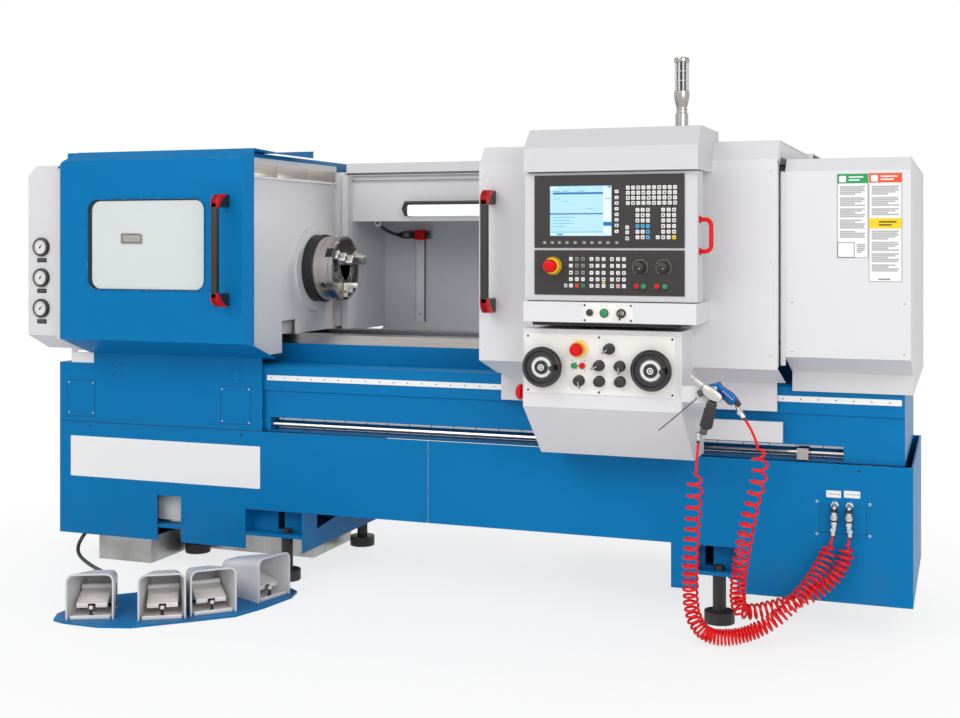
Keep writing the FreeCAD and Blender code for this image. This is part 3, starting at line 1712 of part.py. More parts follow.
def make_pedal_housings():
    """Four tapered foot guards, each open in front and below."""
    housings = []
    for i, (x, y, turn) in enumerate(PEDALS):
        body = new_body(f"pedal_housing_{i}")
        front = D.pedal_width / 2
        rear = D.pedal_rear_width / 2
        plan = [(-front, 0), (front, 0), (rear, D.pedal_length), (-rear, D.pedal_length)]
        high = D.pedal_front_height
        solid = pad(body, outline(body, "XY", [plan]), high)
        slope = [(0, high), (D.pedal_length, high), (D.pedal_length, D.pedal_rear_height)]
        sloped = pocket(body, outline(body, "YZ", [slope], front), D.pedal_width)
        faces = facing(sloped.Shape, (0, 0, -1)) + facing(sloped.Shape, (0, -1, 0))
        shell(body, sloped, D.pedal_wall, faces)
        place(body, x, y, D.pedal_plate_thick, (0, 0, 1), turn)
        housings.append(body)
    node(group("pedal_housings", housings), "pedal_housings")


def make_treadle(index):
    """One treadle, rising to the hinge rod at its rear edge."""
    x, y, turn = PEDALS[index]
    body = new_body(f"treadle_{index + 1}")
    half = D.treadle_width / 2
    rise = D.treadle_length * math.tan(math.radians(DIMENSIONS["treadle_tilt"]))
    start = D.treadle_start
    low = D.treadle_low
    thick = D.treadle_thick
    profile = [
        (start, low),
        (start + D.treadle_length, low + rise),
        (start + D.treadle_length, low + rise + thick),
        (start, low + thick),
    ]
    pad(body, outline(body, "YZ", [profile], -half), D.treadle_width)
    hinge = start + D.treadle_length
    narrowing = (D.pedal_width - D.pedal_rear_width) * (hinge + thick) / D.pedal_length
    reach = (D.pedal_width - narrowing) / 2 - D.pedal_wall - D.pin_margin
    pin = rectangle(hinge, low + rise, hinge + thick, low + rise + thick)
    pad(body, outline(body, "YZ", [pin], -reach), 2 * reach)
    place(body, x, y, D.pedal_plate_thick, (0, 0, 1), turn)
    node(body, f"treadle_{index + 1}")


def bend_path(points):
    """A wire through points whose corners are tangent arcs, and its tightest radius."""
    corners = [FreeCAD.Vector(*[number(c) for c in point]) for point in points]
    edges = []
    start = corners[0]
    tightest = None
    for before, corner, after in zip(corners, corners[1:], corners[2:]):
        back = (before - corner).normalize()
        ahead = (after - corner).normalize()
        reach = BEND_SHARE * min((before - corner).Length, (after - corner).Length)
        half = back.getAngle(ahead) / 2
        radius = reach * math.tan(half)
        middle = (back + ahead).normalize()
        centre = corner + middle * (radius / math.sin(half))
        first = corner + back * reach
        last = corner + ahead * reach
        edges.append(Part.makeLine(start, first))
        edges.append(Part.Arc(first, centre - middle * radius, last).toShape())
        start = last
        tightest = radius if tightest is None else min(tightest, radius)
    edges.append(Part.makeLine(start, corners[-1]))
    return Part.Wire(edges), tightest


def make_cord(name, points, radius, sides):
    """A cord swept along a bent path, with its volume compared to its length times its section."""
    path, tightest = bend_path(points)
    heading = path.Edges[0].tangentAt(path.Edges[0].FirstParameter)
    rim = Part.makeCircle(1.0, FreeCAD.Vector(0, 0, 0), heading).discretize(sides + 1)
    start = path.Edges[0].valueAt(path.Edges[0].FirstParameter)
    section = Part.makePolygon([start + p * number(radius) for p in rim])
    swept = path.makePipeShell([section], True, False)
    cord = doc.addObject("Part::Feature", name)
    cord.Shape = swept
    flat = number(radius) ** 2 * sides / 2 * math.sin(2 * math.pi / sides) * path.Length
    print(name, "length", round(path.Length, 1), "tightest", round(tightest, 1),
          "volume", round(swept.Volume / flat, 4))
    return cord


def make_switch_cable():
    gland = (D.cable_x, D.cable_y, D.valance_bottom - D.pedal_cable / 2)
    y = D.rear_wall - D.switch_depth / 2
    points = [
        gland,
        (D.switch_left - D.cable_loop, y - D.cable_drop, D.switch_z),
        (D.switch_left - D.pedal_cable / 2, y, D.switch_z),
    ]
    node(make_cord("switch_cable", points, D.pedal_cable / 2, 4), "switch_cable")


def make_pedal_cables():
    node(make_cord("pedal_cables", PEDAL_CABLE, D.pedal_cable / 2, 4), "pedal_cables")


def make_hose(index, points):
    """A coiled air hose as one tube of the coil's outer size."""
    node(make_cord(f"hose_{index}", points, D.hose_coil / 2, 5), f"hose_{index}")


def check_document():
    """Stops on any object that failed, is empty or is not a sound solid."""
    doc.recompute()
    for thing in doc.Objects:
        if "Invalid" in thing.State or "Error" in thing.State:
            raise RuntimeError(f"{thing.Label} did not compute")
    for thing in nodes:
        shape = thing.Shape
        if shape.isNull() or not shape.isValid() or not shape.Solids:
            raise RuntimeError(f"{thing.Label} is not a sound solid")


def export_nodes():
    os.makedirs("parts", exist_ok=True)
    for thing in nodes:
        thing.Shape.exportStep(f"parts/{thing.Label}.step")
    print(len(nodes), "parts")


make_base_left()
make_base_right()
make_bed()
make_headstock_base_cover()
make_headstock_housing()
make_spindle()
make_chuck()
for jaw_index in range(1, JAW_COUNT + 1):
    make_jaw(jaw_index)
make_headstock_cover()
make_splash_wall()
make_end_cabinet()
make_gauges()
make_rear_enclosure()
make_work_lamp()
make_door_switch()
make_switch_cable()
make_right_cabinet()
make_levelling_feet()
make_rail_strip()
make_stop_rod()
make_couplings()
make_main_motor()
make_coolant_tank()
make_electrical_cabinet()
make_cabinet_door()
make_sliding_door()
make_door_window()
make_grip("door_handle", D.door_grip_x, D.door_front)
make_saddle()
make_cross_slide()
make_tool_turret()
make_guard()
make_grip("guard_handle", D.guard_grip_x, D.guard_front)
make_station_hood()
make_panel_housing()
make_panel_handle()
make_hmi_panel()
make_operating_panel()
make_control_plate()
make_apron()
make_handwheel("handwheel_left", D.wheel_left_x)
make_handwheel("handwheel_right", D.wheel_right_x)
make_emergency_stop(
    "emergency_stop_1", D.panel_stop_x, D.panel_front - D.black_thick, D.panel_stop_z
)
make_emergency_stop(
    "emergency_stop_2", D.apron_stop_x, D.apron_front - D.black_thick, D.apron_stop_z
)
make_beacon()
make_gun("silver_gun", SILVER_GUN, D.gun_y)
make_gun("blue_gun", BLUE_GUN, D.blue_gun_y)
make_tailstock()
make_quill()
make_pedal_plate()
make_pedal_housings()
for pedal_index in range(len(PEDALS)):
    make_treadle(pedal_index)
make_pedal_cables()
make_hose(1, HOSE_1)
make_hose(2, HOSE_2)
check_document()
export_nodes()
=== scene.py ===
"""A CNC turning lathe: cords, enamel, glass, keys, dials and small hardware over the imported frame.

Lengths are written in millimetres and turned into metres as the meshes are made.
"""

import json
from math import cos, pi, radians, sin, tan

import bmesh
import bpy
from mathutils import Matrix, Vector


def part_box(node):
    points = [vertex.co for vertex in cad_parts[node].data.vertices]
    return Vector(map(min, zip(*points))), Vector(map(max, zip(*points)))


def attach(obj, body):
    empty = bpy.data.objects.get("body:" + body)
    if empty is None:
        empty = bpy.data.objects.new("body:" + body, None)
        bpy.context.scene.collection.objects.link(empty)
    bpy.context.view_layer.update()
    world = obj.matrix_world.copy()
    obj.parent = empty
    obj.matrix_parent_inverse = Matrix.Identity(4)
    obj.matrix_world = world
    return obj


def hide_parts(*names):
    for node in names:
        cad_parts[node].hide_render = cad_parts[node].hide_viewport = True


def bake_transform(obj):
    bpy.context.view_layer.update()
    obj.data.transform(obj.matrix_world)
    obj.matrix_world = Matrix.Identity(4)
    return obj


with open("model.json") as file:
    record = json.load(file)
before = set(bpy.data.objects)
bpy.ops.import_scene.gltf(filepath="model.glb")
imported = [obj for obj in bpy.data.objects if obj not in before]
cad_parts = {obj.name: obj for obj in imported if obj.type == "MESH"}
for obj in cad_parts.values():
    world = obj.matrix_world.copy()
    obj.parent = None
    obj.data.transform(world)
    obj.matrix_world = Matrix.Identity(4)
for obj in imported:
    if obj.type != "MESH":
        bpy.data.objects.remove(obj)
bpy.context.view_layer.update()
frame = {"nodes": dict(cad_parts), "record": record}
MM = 0.001
LEFT, RIGHT, FRONT, BACK, DOWN, UP = (-1, 0, 0), (1, 0, 0), (0, -1, 0), (0, 1, 0), (0, 0, -1), (0, 0, 1)
NODES = frame["nodes"]


def show(thing):
    """Puts a new object in the scene."""
    bpy.context.scene.collection.objects.link(thing)


def box_mm(node):
    """The low and the high corner of a node's box."""
    return [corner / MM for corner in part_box(node)]


# ---------------------------------------------------------------- colours


def shade(colour, factor=1):
    """The linear colour of screen values from 0 to 255, made lighter or darker by the factor."""
    return tuple(min(1, factor * ((v / 255 + 0.055) / 1.055) ** 2.4) for v in colour) + (1,)


BLUE = (0, 116, 176)
GREY = (219, 218, 220)
CREAM = (236, 233, 229)
WHITE = (232, 232, 232)
PALE = (212, 218, 217)
STEEL = (176, 170, 166)
DARK_STEEL = (96, 90, 86)
BLACK = (38, 35, 34)
INK = (24, 23, 23)
RED = (216, 16, 22)
HOSE_RED = (232, 20, 22)
YELLOW = (240, 205, 20)
GREEN = (0, 140, 88)
BRASS = (196, 160, 92)


# ---------------------------------------------------------------- materials


class Tree:
    """The node tree of a material with one Principled shader."""

    def __init__(self, name):
        self.material = bpy.data.materials.new(name)
        self.material.use_nodes = True
        self.tree = self.material.node_tree
        self.shader = self.tree.nodes["Principled BSDF"]
        self.place = self.add("ShaderNodeTexCoord").outputs["Object"]

    def add(self, kind, inputs=None, **settings):
        """A node with its settings and its inputs, each a value or another node's output."""
        node = self.tree.nodes.new(kind)
        for key, value in settings.items():
            setattr(node, key, value)
        for key, value in (inputs or {}).items():
            self.put(node.inputs[key], value)
        return node

    def put(self, socket, value):
        if isinstance(value, bpy.types.NodeSocket):
            self.tree.links.new(value, socket)
        else:
            socket.default_value = value

    def set(self, **inputs):
        """Inputs of the shader, named with _ in place of a space."""
        for key, value in inputs.items():
            self.put(self.shader.inputs[key.replace("_", " ")], value)
        return self

    def scaled(self, scale):
        if scale == (1, 1, 1):
            return self.place
        return self.add("ShaderNodeMapping", {"Vector": self.place, "Scale": scale}).outputs[0]

    def noise(self, vector, scale, detail=2):
        sockets = {"Vector": vector, "Scale": scale, "Detail": detail}
        return self.add("ShaderNodeTexNoise", sockets).outputs["Fac"]

    def span(self, value, low, high, first=0, last=1):
        sockets = {"Value": value, "From Min": low, "From Max": high, "To Min": first, "To Max": last}
        return self.add("ShaderNodeMapRange", sockets).outputs["Result"]

    def math(self, operation, first, second=0):
        return self.add("ShaderNodeMath", {0: first, 1: second}, operation=operation).outputs[0]

    def mix(self, factor, first, second):
        node = self.add("ShaderNodeMix", data_type="RGBA")
        for socket, value in ((0, factor), (6, first), (7, second)):
            self.put(node.inputs[socket], value)
        return node.outputs[2]

    def axis(self, letter):
        return self.add("ShaderNodeSeparateXYZ", {"Vector": self.place}).outputs[letter]

    def rounded(self, radius):
        """A normal that rounds sharp edges, for the eye only."""
        return self.add("ShaderNodeBevel", {"Radius": radius * MM}, samples=4).outputs[0]

    def edges(self, radius):
        """1 along the sharp edges and 0 on the flats."""
        true = self.add("ShaderNodeNewGeometry").outputs["Normal"]
        sockets = {0: self.rounded(radius), 1: true}
        alike = self.add("ShaderNodeVectorMath", sockets, operation="DOT_PRODUCT").outputs["Value"]
        return self.span(alike, 0.995, 0.90)


LOOKS = {}


def surface(
    name,
    colour,
    rough=0.4,
    metal=0,
    tone=0.04,
    patch=2.5,
    grain=260,
    bump=0.04,
    stretch=(1, 1, 1),
    worn=None,
    edge=1.5,
    grime=0,
    coat=0,
    specular=0.5,
):
    """A finish kept in LOOKS: tone varies in patches, grain gives bump and gloss, and edges wear."""
    tree = Tree(name)
    place = tree.scaled(stretch)
    broad = tree.noise(place, patch, 4)
    fine = tree.noise(place, grain, 2)
    base = tree.mix(broad, shade(colour, 1 - tone), shade(colour, 1 + tone))
    if grime:
        low = tree.span(tree.axis("Z"), 0.28, 0)
        spots = tree.span(tree.noise(tree.place, 9, 6), 0.42, 0.75)
        base = tree.mix(
            tree.math("MULTIPLY", tree.math("MULTIPLY", low, spots), grime), base,
            shade((88, 82, 76)),
        )
    if worn:
        nicks = tree.span(tree.noise(tree.place, 60, 3), 0.52, 0.7)
        base = tree.mix(tree.math("MULTIPLY", tree.edges(2), nicks), base, shade(worn))
    tree.set(Base_Color=base, Metallic=metal, Coat_Weight=coat, Specular_IOR_Level=specular)
    tree.set(Roughness=tree.span(tree.math("ADD", fine, broad), 0.6, 1.4, rough - 0.05, rough + 0.08))
    normal = {"Strength": bump, "Distance": 0.001, "Height": fine}
    if edge:
        normal["Normal"] = tree.rounded(edge)
    tree.set(Normal=tree.add("ShaderNodeBump", normal).outputs[0])
    LOOKS[name] = tree.material
    return tree


PRIMER = (150, 190, 214)
surface("blue_enamel", BLUE, 0.36, bump=0.05, worn=PRIMER, grime=0.3, specular=0.1)
surface("grey_enamel", GREY, 0.42, tone=0.025, worn=(245, 245, 245), grime=0.4)
surface("ground_steel", STEEL, 0.26, 1, 0.08, 6, 220, 0.05, (1, 14, 14), edge=0.8)
surface("dark_steel", DARK_STEEL, 0.42, 0.9, 0.12, 12, 240, 0.12, edge=0.8)
surface("plated_brass", BRASS, 0.28, 1, 0.08, 30, 300, 0.04, edge=0.4)
surface("bright_alloy", (206, 203, 198), 0.24, 1, 0.06, 24, 300, 0.04, edge=0.8)
surface("blue_alloy", (24, 92, 160), 0.28, 0.75, 0.1, 30, 300, 0.04, edge=0.8)
surface("cable_rubber", (34, 33, 34), 0.5, 0, 0.15, 40, 500, 0.2, edge=0.3)
surface("red_hose", HOSE_RED, 0.24, 0, 0.1, 20, 200, 0.03, edge=0, specular=0.25)
surface("black_plastic", BLACK, 0.42, 0, 0.12, 30, 700, 0.15, edge=0.8)
surface("red_plastic", RED, 0.3, 0, 0.08, 30, 500, 0.05, edge=0.8, specular=0.2)
surface("cream_plate", CREAM, 0.4, 0, 0.02, 8, 500, 0.04, edge=0.5)
surface("window_glass", PALE, 0.14, 0, 0.03, 4, 60, 0.01, edge=0.5, coat=0.5)
surface("lamp_plastic", WHITE, 0.35, 0, 0.04, 8, 300, 0.04, edge=0.6)
surface("lens_plastic", (205, 206, 206), 0.12, 0, 0.05, 20, 200, 0.03, coat=0.5)
surface("tank_steel", (188, 188, 186), 0.34, 0.85, 0.08, 7, 200, 0.08, (1, 1, 6), edge=1, grime=0.5)


def give(node, material):
    """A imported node's look."""
    NODES[node].data.materials.clear()
    NODES[node].data.materials.append(material)


for part in frame["record"]["subparts"]:
    give(part["node"], LOOKS[part["material_slot"]])

# ---------------------------------------------------------------- camera, lights, floor

CAMERA_PLACE = Vector((1.772, -4.440, 1.250))
CAMERA_TURN = radians(20.2)
FOCAL_PIXELS = 1325
PICTURE_WIDTH = 960
HORIZON_DROP = 119
LAMPS = {
    "chamber": ((-0.14, 0.405, 1.36), (-0.14, 0, 1), (0.36, 0.03), 1.6),
    "key": ((-1.6, -4.6, 4), (0, 0, 0.9), (4, 2.6), 110),
    "fill": ((3.6, -4.2, 2.4), (0.3, 0, 0.9), (3, 2.6), 88),
    "back": ((0.5, 4.4, 4.2), (0, 0.3, 1), (5, 2.5), 42),
}
AMBIENT = 0.50
FLOOR_GLOW = 0.76
FLOOR_REACH, FADE_START, FADE_END = 14, 1.2, 2.6


def make_camera():
    """The camera that stands where the photo's did."""
    data = bpy.data.cameras.new("camera")
    data.sensor_width = 36
    data.lens = FOCAL_PIXELS / PICTURE_WIDTH * data.sensor_width
    data.shift_y = -HORIZON_DROP / PICTURE_WIDTH
    data.clip_end = 60
    camera = bpy.data.objects.new("camera", data)
    camera.location = CAMERA_PLACE
    camera.rotation_euler = (radians(90), 0, CAMERA_TURN)
    show(camera)
    bpy.context.scene.camera = camera


def make_lamp(name, place, target, size, power):
    """An area lamp: places and sizes in metres, the power in watts."""
    data = bpy.data.lights.new(name, "AREA")
    data.shape = "RECTANGLE"
    data.size, data.size_y = size
    data.energy = power
    lamp = bpy.data.objects.new(name, data)
    lamp.location = place
    direction = Vector(target) - Vector(place)
    lamp.rotation_euler = direction.to_track_quat("-Z", "Y").to_euler()
    lamp.visible_camera = False
    show(lamp)


def seen_by_eye(tree):
    """1 for camera, glossy and transmission rays, which see the plain white background."""
    path = tree.nodes.new("ShaderNodeLightPath")
    total = path.outputs["Is Camera Ray"]
    for name in ("Is Glossy Ray", "Is Transmission Ray"):
        add = tree.nodes.new("ShaderNodeMath")
        add.operation = "MAXIMUM"
        tree.links.new(total, add.inputs[0])
        tree.links.new(path.outputs[name], add.inputs[1])
        total = add.outputs[0]
    return total


def make_world(ambient):
    """A white background that lights the part with the ambient strength."""
    world = bpy.data.worlds.new("studio")
    world.use_nodes = True
    tree = world.node_tree
    shown = tree.nodes.new("ShaderNodeMapRange")
    shown.inputs["To Min"].default_value = ambient
    shown.inputs["To Max"].default_value = 1
    tree.links.new(seen_by_eye(tree), shown.inputs["Value"])
    background = tree.nodes["Background"]
    background.inputs["Color"].default_value = (1, 1, 1, 1)
    tree.links.new(shown.outputs["Result"], background.inputs["Strength"])
    bpy.context.scene.world = world


def make_floor(reach, near, far):
    """A pale floor that keeps the shadow and turns into the white background away from the part."""
    mesh = bmesh.new()
    bmesh.ops.create_circle(mesh, cap_ends=True, segments=64, radius=reach)
    data = bpy.data.meshes.new("floor")
    mesh.to_mesh(data)
    mesh.free()
    floor = bpy.data.objects.new("floor", data)
    show(floor)
    floor.location.z = -0.0005
    tree = Tree("floor_white")
    away = tree.add("ShaderNodeVectorMath", {0: tree.place}, operation="LENGTH").outputs["Value"]
    fade = tree.math("MULTIPLY", tree.span(away, near, far, FLOOR_GLOW, 1), seen_by_eye(tree.tree))
    speckle = tree.noise(tree.place, 40, 3)
    tree.set(Base_Color=tree.mix(speckle, (0.94, 0.94, 0.94, 1), (0.97, 0.97, 0.97, 1)), Roughness=0.7)
    glow = tree.add("ShaderNodeEmission").outputs[0]
    blend = tree.add("ShaderNodeMixShader", {0: fade, 1: tree.shader.outputs[0], 2: glow}).outputs[0]
    tree.put(tree.tree.nodes["Material Output"].inputs["Surface"], blend)
    data.materials.append(tree.material)


make_camera()
make_world(AMBIENT)
for name, lamp in LAMPS.items():
    make_lamp(name, *lamp)
make_floor(FLOOR_REACH, FADE_START, FADE_END)
bpy.context.scene.view_settings.view_transform = "Standard"

# ---------------------------------------------------------------- forms

PLANES = {
    "X": lambda a, b, t: (t, a, b),
    "Y": lambda a, b, t: (a, t, b),
    "Z": lambda a, b, t: (a, b, t),
}
SHARP = radians(34)


def arc(centre, radius, start, end, steps=8):
    """Points of an arc, from the start angle to the end angle in degrees."""
    turns = [radians(start + (end - start) * i / steps) for i in range(steps + 1)]
    return [(centre[0] + radius * cos(t), centre[1] + radius * sin(t)) for t in turns]


def rounded(left, low, right, high, radius, steps=6):
    """A rectangle with round corners."""
    corners = [(right, high, 0), (left, high, 90), (left, low, 180), (right, low, 270)]
    points = []
    for x, y, turn in corners:
        inward_x = radius if x == left else -radius
        inward_y = radius if y == low else -radius
        points += arc((x + inward_x, y + inward_y), radius, turn, turn + 90, steps)
    return points


def spoke(centre, degrees, near, far, near_half, far_half):
    """The outline of a bar that points away from a centre, with its half width at each end."""
    ahead = Vector((cos(radians(degrees)), sin(radians(degrees))))
    side = Vector((-ahead.y, ahead.x))
    ends = ((near, near_half), (far, far_half), (far, -far_half), (near, -near_half))
    return [tuple(Vector(centre) + ahead * along + side * half) for along, half in ends]


class Form:
    """Shapes gathered into one piece: sizes in millimetres, each shape with its own look."""

    def __init__(self, at=None):
        self.mesh = bmesh.new()
        self.looks = []
        self.at = at or Matrix()

    def point(self, x, y, z):
        return self.mesh.verts.new(self.at @ Vector((x, y, z)) * MM)

    def finish(self, faces, look, edge=0):
        """Gives the faces their look and rounds their sharp edges."""
        if look not in self.looks:
            self.looks.append(look)
        for face in faces:
            face.material_index = self.looks.index(look)
        if edge:
            self.mesh.normal_update()
            edges = dict.fromkeys(e for f in faces for e in f.edges)
            sharp = [e for e in edges if e.calc_face_angle(0) > SHARP]
            bmesh.ops.bevel(
                self.mesh,
                geom=sharp,
                offset=edge * MM,
                segments=2,
                profile=0.5,
                affect="EDGES",
                clamp_overlap=True,
                material=-1,
            )

    def prism(self, points, axis, low, high, look, edge=0):
        """An outline drawn across an axis and drawn out from low to high along it."""
        put = PLANES[axis]
        first = [self.point(*put(a, b, low)) for a, b in points]
        last = [self.point(*put(a, b, high)) for a, b in points]
        faces = [self.mesh.faces.new(first[::-1]), self.mesh.faces.new(last)]
        for i in range(len(points)):
            j = (i + 1) % len(points)
            faces.append(self.mesh.faces.new((first[i], first[j], last[j], last[i])))
        bmesh.ops.recalc_face_normals(self.mesh, faces=faces)
        self.finish(faces, look, edge)

    def box(self, low, high, look, edge=0):
        (x0, y0, z0), (x1, y1, z1) = low, high
        self.prism([(x0, y0), (x1, y0), (x1, y1), (x0, y1)], "Z", z0, z1, look, edge)

    def plate(self, left, low, right, high, radius, front, rear, look, edge=0, steps=6):
        """A plate with round corners that faces the front."""
        self.prism(rounded(left, low, right, high, radius, steps), "Y", front, rear, look, edge)

    def border(self, left, low, right, high, width, radii, front, rear, look, steps=6):
        """A flat border that faces the front, with the radii of its outer and inner corners."""
        outer = rounded(left, low, right, high, radii[0], steps)
        inner = rounded(left + width, low + width, right - width, high - width, radii[1], steps)
        self.frame(outer, inner, "Y", front, rear, look)

    def frame(self, outer, inner, axis, low, high, look):
        """A flat ring between two outlines that have the same number of points."""
        put = PLANES[axis]
        rings = [
            [self.point(*put(a, b, t)) for a, b in line] for t in (low, high) for line in (outer, inner)
        ]
        faces = []
        for i in range(len(outer)):
            j = (i + 1) % len(outer)
            for one, two in ((0, 1), (1, 3), (3, 2), (2, 0)):
                faces.append(
                    self.mesh.faces.new((rings[one][i], rings[one][j], rings[two][j], rings[two][i])),
                )
        bmesh.ops.recalc_face_normals(self.mesh, faces=faces)
        self.finish(faces, look)

    def lathe(self, profile, centre, direction, look, sides=40):
        """A turned shape: the profile gives the place along the direction and the radius."""
        turn = Vector(UP).rotation_difference(Vector(direction)).to_matrix()
        middle = Vector(centre)
        rings = []
        for along, radius in profile:
            ring = []
            for i in range(sides if radius > 0 else 1):
                t = 2 * pi * i / sides
                spot = middle + turn @ Vector((radius * cos(t), radius * sin(t), along))
                ring.append(self.point(*spot))
            rings.append(ring)
        faces = []
        for first, last in zip(rings, rings[1:]):
            for i in range(sides):
                j = (i + 1) % sides
                corners = [
                    first[i % len(first)], first[j % len(first)], last[j % len(last)],
                    last[i % len(last)],
                ]
                faces.append(self.mesh.faces.new(list(dict.fromkeys(corners))))
        for ring in (rings[0], rings[-1]):
            if len(ring) > 1:
                faces.append(self.mesh.faces.new(ring))
        bmesh.ops.recalc_face_normals(self.mesh, faces=faces)
        self.finish(faces, look)

    def tube(self, points, radius, look, sides=12):
        """A tube along a line of points, with closed ends."""
        line = [Vector(p) for p in points]
        rings = []
        side = None
        for i, spot in enumerate(line):
            ahead = (line[min(i + 1, len(line) - 1)] - line[max(i - 1, 0)]).normalized()
            if side is None:
                side = ahead.orthogonal().normalized()
            side = (side - side.dot(ahead) * ahead).normalized()
            other = ahead.cross(side)
            turns = [2 * pi * k / sides for k in range(sides)]
            ring = [spot + (side * cos(t) + other * sin(t)) * radius for t in turns]
            rings.append([self.point(*p) for p in ring])
        faces = [self.mesh.faces.new(rings[0][::-1]), self.mesh.faces.new(rings[-1])]
        for first, last in zip(rings, rings[1:]):
            for i in range(sides):
                j = (i + 1) % sides
                faces.append(self.mesh.faces.new((first[i], first[j], last[j], last[i])))
        bmesh.ops.recalc_face_normals(self.mesh, faces=faces)
        self.finish(faces, look)

    def screw(self, place, direction, look, radius=6, height=3):
        """A socket head screw with its dark hexagon."""
        head = [(0, radius), (height - 0.8, radius), (height, radius - 0.8), (height, radius * 0.55)]
        self.lathe(head, place, direction, look, 20)
        socket = [(height - 0.4, radius * 0.55), (height + 0.1, radius * 0.55)]
        self.lathe(socket, place, direction, "socket", 6)

    def screws(self, places, face, look, radius, height):
        """Screws on a front face."""
        for x, z in places:
            self.screw((x, face, z), FRONT, look, radius, height)

    def piece(self, name, body, replaces=None):
        """The finished piece, riding on its body."""
        data = bpy.data.meshes.new(name)
        self.mesh.to_mesh(data)
        self.mesh.free()
        for look in self.looks:
            data.materials.append(LOOKS[look])
        for face in data.polygons:
            face.use_smooth = True
        data.set_sharp_from_angle(angle=SHARP)
        shown = bpy.data.objects.new(name, data)
        show(shown)
        if body:
            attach(shown, body)
        if replaces:
            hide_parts(replaces)
        return shown


# ---------------------------------------------------------------- cords

HOSE_1 = [
    (1025, -530, 679),
    (980, -450, 290),
    (975, -385, 36),
    (1120, -345, 23),
    (1260, -300, 110),
    (1377, -166, 275),
    (1377, -166, 347.5),
]
HOSE_2 = [
    (1136.4, -492, 742.8),
    (1220, -485, 640),
    (1150, -430, 400),
    (1098, -330, 140),
    (1124, -285, 75),
    (1424, -170, 180),
    (1428, -166, 346.5),
]
PEDAL_CABLE = [
    (-1009.9, -627.6, 50),
    (-1095, -445, 44),
    (-1370, -222, 16),
    (-1478, -155, 42),
    (-1472, -108, 106),
    (-1420, -100, 152.2),
]
SWITCH_CABLE = [(-500, 520, 1319), (-551, 750, 1272), (-518, 810, 1272)]
HOSE_TUBE = 8
COIL_RADIUS = 21.5
POINTS_A_TURN = 18
PRESSED_PITCH, LIFTED_PITCH = 10.5, 7
LIFT_START, LIFT_RANGE = 38, 40
HANG_START, HANG_RANGE = 60, 400
HANG_PITCHES = (20, 4)
EASE = 0.035
LONGEST_STEP = 0.012
HOSE_STARTS = (125, 115)
HOSE_END = 42
CABLE = 14


def route_curve(name, points, thickness):
    """A smooth curve with the route's points as its control points."""
    data = bpy.data.curves.new(name, "CURVE")
    data.dimensions = "3D"
    data.resolution_u = 24
    spline = data.splines.new("NURBS")
    spline.points.add(len(points) - 1)
    for control, spot in zip(spline.points, points):
        control.co = (*(v * MM for v in spot), 1)
    spline.order_u = 3
    spline.use_endpoint_u = True
    data.bevel_depth = thickness / 2 * MM
    data.bevel_resolution = 4
    data.use_fill_caps = True
    return data


def route_line(name, points):
    """The points of the smooth curve through a route, in metres."""
    data = route_curve(name, points, 0)
    bare = bpy.data.objects.new(name, data)
    mesh = bpy.data.meshes.new_from_object(bare)
    line = [v.co.copy() for v in mesh.vertices]
    bpy.data.meshes.remove(mesh)
    bpy.data.objects.remove(bare)
    bpy.data.curves.remove(data)
    return line


def spaced_line(line, step):
    """The line again with points an even step apart."""
    found = [line[0]]
    left = step
    for a, b in zip(line, line[1:]):
        run = (b - a).length
        at = left
        while at <= run:
            found.append(a.lerp(b, at / run))
            at += step
        left = at - run
    return found


def smooth(value):
    """An even rise from 0 to 1."""
    held = min(1, max(0, value))
    return held * held * (3 - 2 * held)


def turn_pitch(height, share):
    """The room each turn takes: pressed together on the floor and drawn out where the hose hangs."""
    hanging = min(1, max(0, (height - HANG_START) / HANG_RANGE))
    drawn = HANG_PITCHES[0] if share < 0.5 else HANG_PITCHES[1]
    lifted = smooth((height - LIFT_START) / LIFT_RANGE)
    return PRESSED_PITCH + LIFTED_PITCH * lifted + drawn * hanging


def helix(line, step, start, end):
    """A coil round a line, straight at both ends and with its turns between them."""
    ahead = [(b - a).normalized() for a, b in zip(line, line[1:])]
    side = ahead[0].orthogonal().normalized()
    length = step * (len(line) - 1)
    path = []
    turn = 0
    for i, spot in enumerate(line[:-1]):
        if i:
            side = ahead[i - 1].rotation_difference(ahead[i]) @ side
        at = step * i
        left = length - at - end
        if at > start and left > 0:
            turn += 2 * pi * step / (turn_pitch(spot.z / MM, at / length) * MM)
        if path and turn < due_turn and at < due_at:
            continue
        due_turn = turn + 2 * pi / POINTS_A_TURN
        due_at = at + LONGEST_STEP
        grow = smooth((at - start) / EASE) * smooth(left / EASE)
        swell = 1 + 0.03 * sin(turn * 0.37) + 0.02 * sin(turn * 0.113 + 1)
        out = side * cos(turn) + ahead[i].cross(side) * sin(turn)
        path.append(spot + out * (COIL_RADIUS * MM * grow * swell))
    path.append(line[-1])
    return path


def make_hose(name, node, points, start, end):
    """A coiled air hose between the coupling on the base and the gun on the carriage."""
    step = 0.25 * MM
    path = helix(spaced_line(route_line(name, points), step), step, start * MM, end * MM)
    form = Form()
    form.tube([p / MM for p in path], HOSE_TUBE / 2, "red_hose", 10)
    hose = form.piece(name, None, replaces=node)
    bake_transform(hose)


def relief(name, body, place, direction, length, wide, thin, look):
    """A ribbed, tapered sleeve where a cord leaves a housing."""
    form = Form()
    profile = [(0, wide * 1.25), (length * 0.18, wide * 1.25), (length * 0.2, wide)]
    ribs = 5
    for i in range(ribs):
        at = length * (0.25 + 0.7 * i / ribs)
        radius = wide + (thin - wide) * (i + 1) / ribs
        profile += [(at, radius + 1), (at + length * 0.07, radius + 1), (at + length * 0.08, radius)]
    profile += [(length, thin)]
    form.lathe(profile, place, direction, look, 24)
    return form.piece(name, body)


